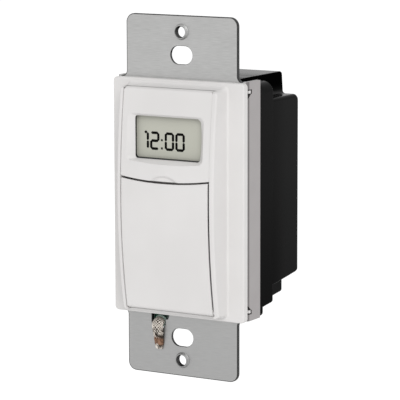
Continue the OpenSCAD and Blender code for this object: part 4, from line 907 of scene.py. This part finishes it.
# Painted shade: a near-black core inside the strands, seen through the gaps between them.
SHADE_CORE_SIDES, SHADE_CORE_FULL = 16, 0.42
shade_core, quads = tube(weld_path, 0.4, (1, 0.05, 0.02), SHADE_CORE_SIDES)
ring = tube_rows(len(weld_path))
offset = shade_core.reshape(-1, SHADE_CORE_SIDES, 3) - weld_path[ring, None]
sideways = (offset @ side)[..., None] * side * (wide[ring] / SHADE_CORE_FULL)[:, None, None]
raised = (offset * lift[ring, None]).sum(-1, keepdims=True) * lift[ring, None]
squeezed = sideways + raised * (high[ring] / SHADE_CORE_FULL)[:, None, None]
bundle += [((weld_path[ring, None] + squeezed).reshape(-1, 3), quads, 1.0)]


def weld_pool():
    """Flat bead: half ellipses across, from a thin toe to a round end, with slow waves along and across."""
    u, v = np.linspace(0.001, 0.999, 26)[:, None], np.linspace(0, -2 * np.pi, 40, endpoint=False)[None]
    grow = np.sqrt(1 - (2 * u - 1) ** 4)
    wave = 1 + 0.06 * np.sin(9 * u + 2 * v) + 0.05 * np.sin(17 * u - 3 * v)
    x = -7.85 + 1.3 * grow * np.cos(v) * wave
    y = -1.55 + np.where(np.sin(v) > 0, 0.3, 0.62) * grow * np.sin(v) * wave
    return skin(np.stack([x, y, -42.2 - 2.6 * u + 0 * v], -1)[::-1])


piece("ground_strand_weld", bundle + [weld_pool()], copper, "copper", "ground_strands")


# Studio: a white floor well below the object, a broad lamp in front on the right, and a pale sky. Floor
# and sky look brighter to the camera and in reflections than the light that they give.
floor_mesh = bpy.data.meshes.new("floor")
floor_mesh.from_pydata([(-4, -4, -0.12), (4, -4, -0.12), (4, 4, -0.12), (-4, 4, -0.12)], [], [(0, 1, 2, 3)])
floor = bpy.data.objects.new("floor", floor_mesh)
bpy.context.scene.collection.objects.link(floor)
floor_white = Finish("floor_white", {"Base Color": (0.3, 0.3, 0.3, 1), "Roughness": 0.9,
                                     "Specular IOR Level": 0.0, "Emission Strength": 0.9})
seen = floor_white.node("ShaderNodeLightPath")
for kind in ("Is Glossy Ray", "Is Reflection Ray"):
    seen = seen.math("MAXIMUM", seen, floor_white.node("ShaderNodeLightPath", out=kind))
floor_white.show("Emission Color", floor_white.mix(seen, (0, 0, 0, 1), (1, 1, 1, 1)))
floor_mesh.materials.append(floor_white.material)

world = bpy.data.worlds.new("sky")
bpy.context.scene.world = world
world.use_nodes = True
sky = world.node_tree
background, path_node = sky.nodes["Background"], sky.nodes.new("ShaderNodeLightPath")
background.inputs["Color"].default_value = (1, 1, 1, 1)
rays = [path_node.outputs[kind] for kind in ("Is Camera Ray", "Is Glossy Ray", "Is Transmission Ray")]
biggest = rays[0]
for other in rays[1:]:
    peak = sky.nodes.new("ShaderNodeMath")
    peak.operation = "MAXIMUM"
    sky.links.new(biggest, peak.inputs[0])
    sky.links.new(other, peak.inputs[1])
    biggest = peak.outputs[0]
level = sky.nodes.new("ShaderNodeMapRange")
level.inputs["To Min"].default_value = 0.53
sky.links.new(biggest, level.inputs["Value"])
sky.links.new(level.outputs[0], background.inputs["Strength"])


def lamp(name, place, size, power):
    """Square soft lamp at a place in metres, turned towards the origin."""
    light = bpy.data.lights.new(name, "AREA")
    light.size, light.energy = size, power
    made = bpy.data.objects.new(name, light)
    back = np.array(place) / np.linalg.norm(place)
    side = np.cross((0, 0, 1), back)
    side /= np.linalg.norm(side)
    axes = np.column_stack([side, np.cross(back, side), back])
    made.matrix_world = Matrix.Translation(place) @ Matrix(axes.tolist()).to_4x4()
    bpy.context.scene.collection.objects.link(made)


lamp("front_lamp", (0.66, -0.9, 0.84), 0.9, 9.4)

azimuth, tilt, roll = math.radians(30.414), math.radians(8.966), math.radians(-0.15)
right = np.array([math.cos(azimuth), math.sin(azimuth), 0])
ahead = np.array([-math.sin(azimuth) * math.cos(tilt), math.cos(azimuth) * math.cos(tilt), -math.sin(tilt)])
above = np.cross(right, ahead)
turned = np.column_stack([math.cos(roll) * right + math.sin(roll) * above,
                          math.cos(roll) * above - math.sin(roll) * right, -ahead])
eye = bpy.data.cameras.new("photo_camera")
eye.lens, eye.sensor_width, eye.clip_start, eye.clip_end = 221.58, 36.0, 0.01, 20.0
camera = bpy.data.objects.new("photo_camera", eye)
camera.matrix_world = Matrix.Translation((0.36350, -0.61002, 0.11118)) @ Matrix(turned.tolist()).to_4x4()
bpy.context.scene.collection.objects.link(camera)
bpy.context.scene.camera = camera
bpy.context.scene.view_settings.view_transform = "Standard"
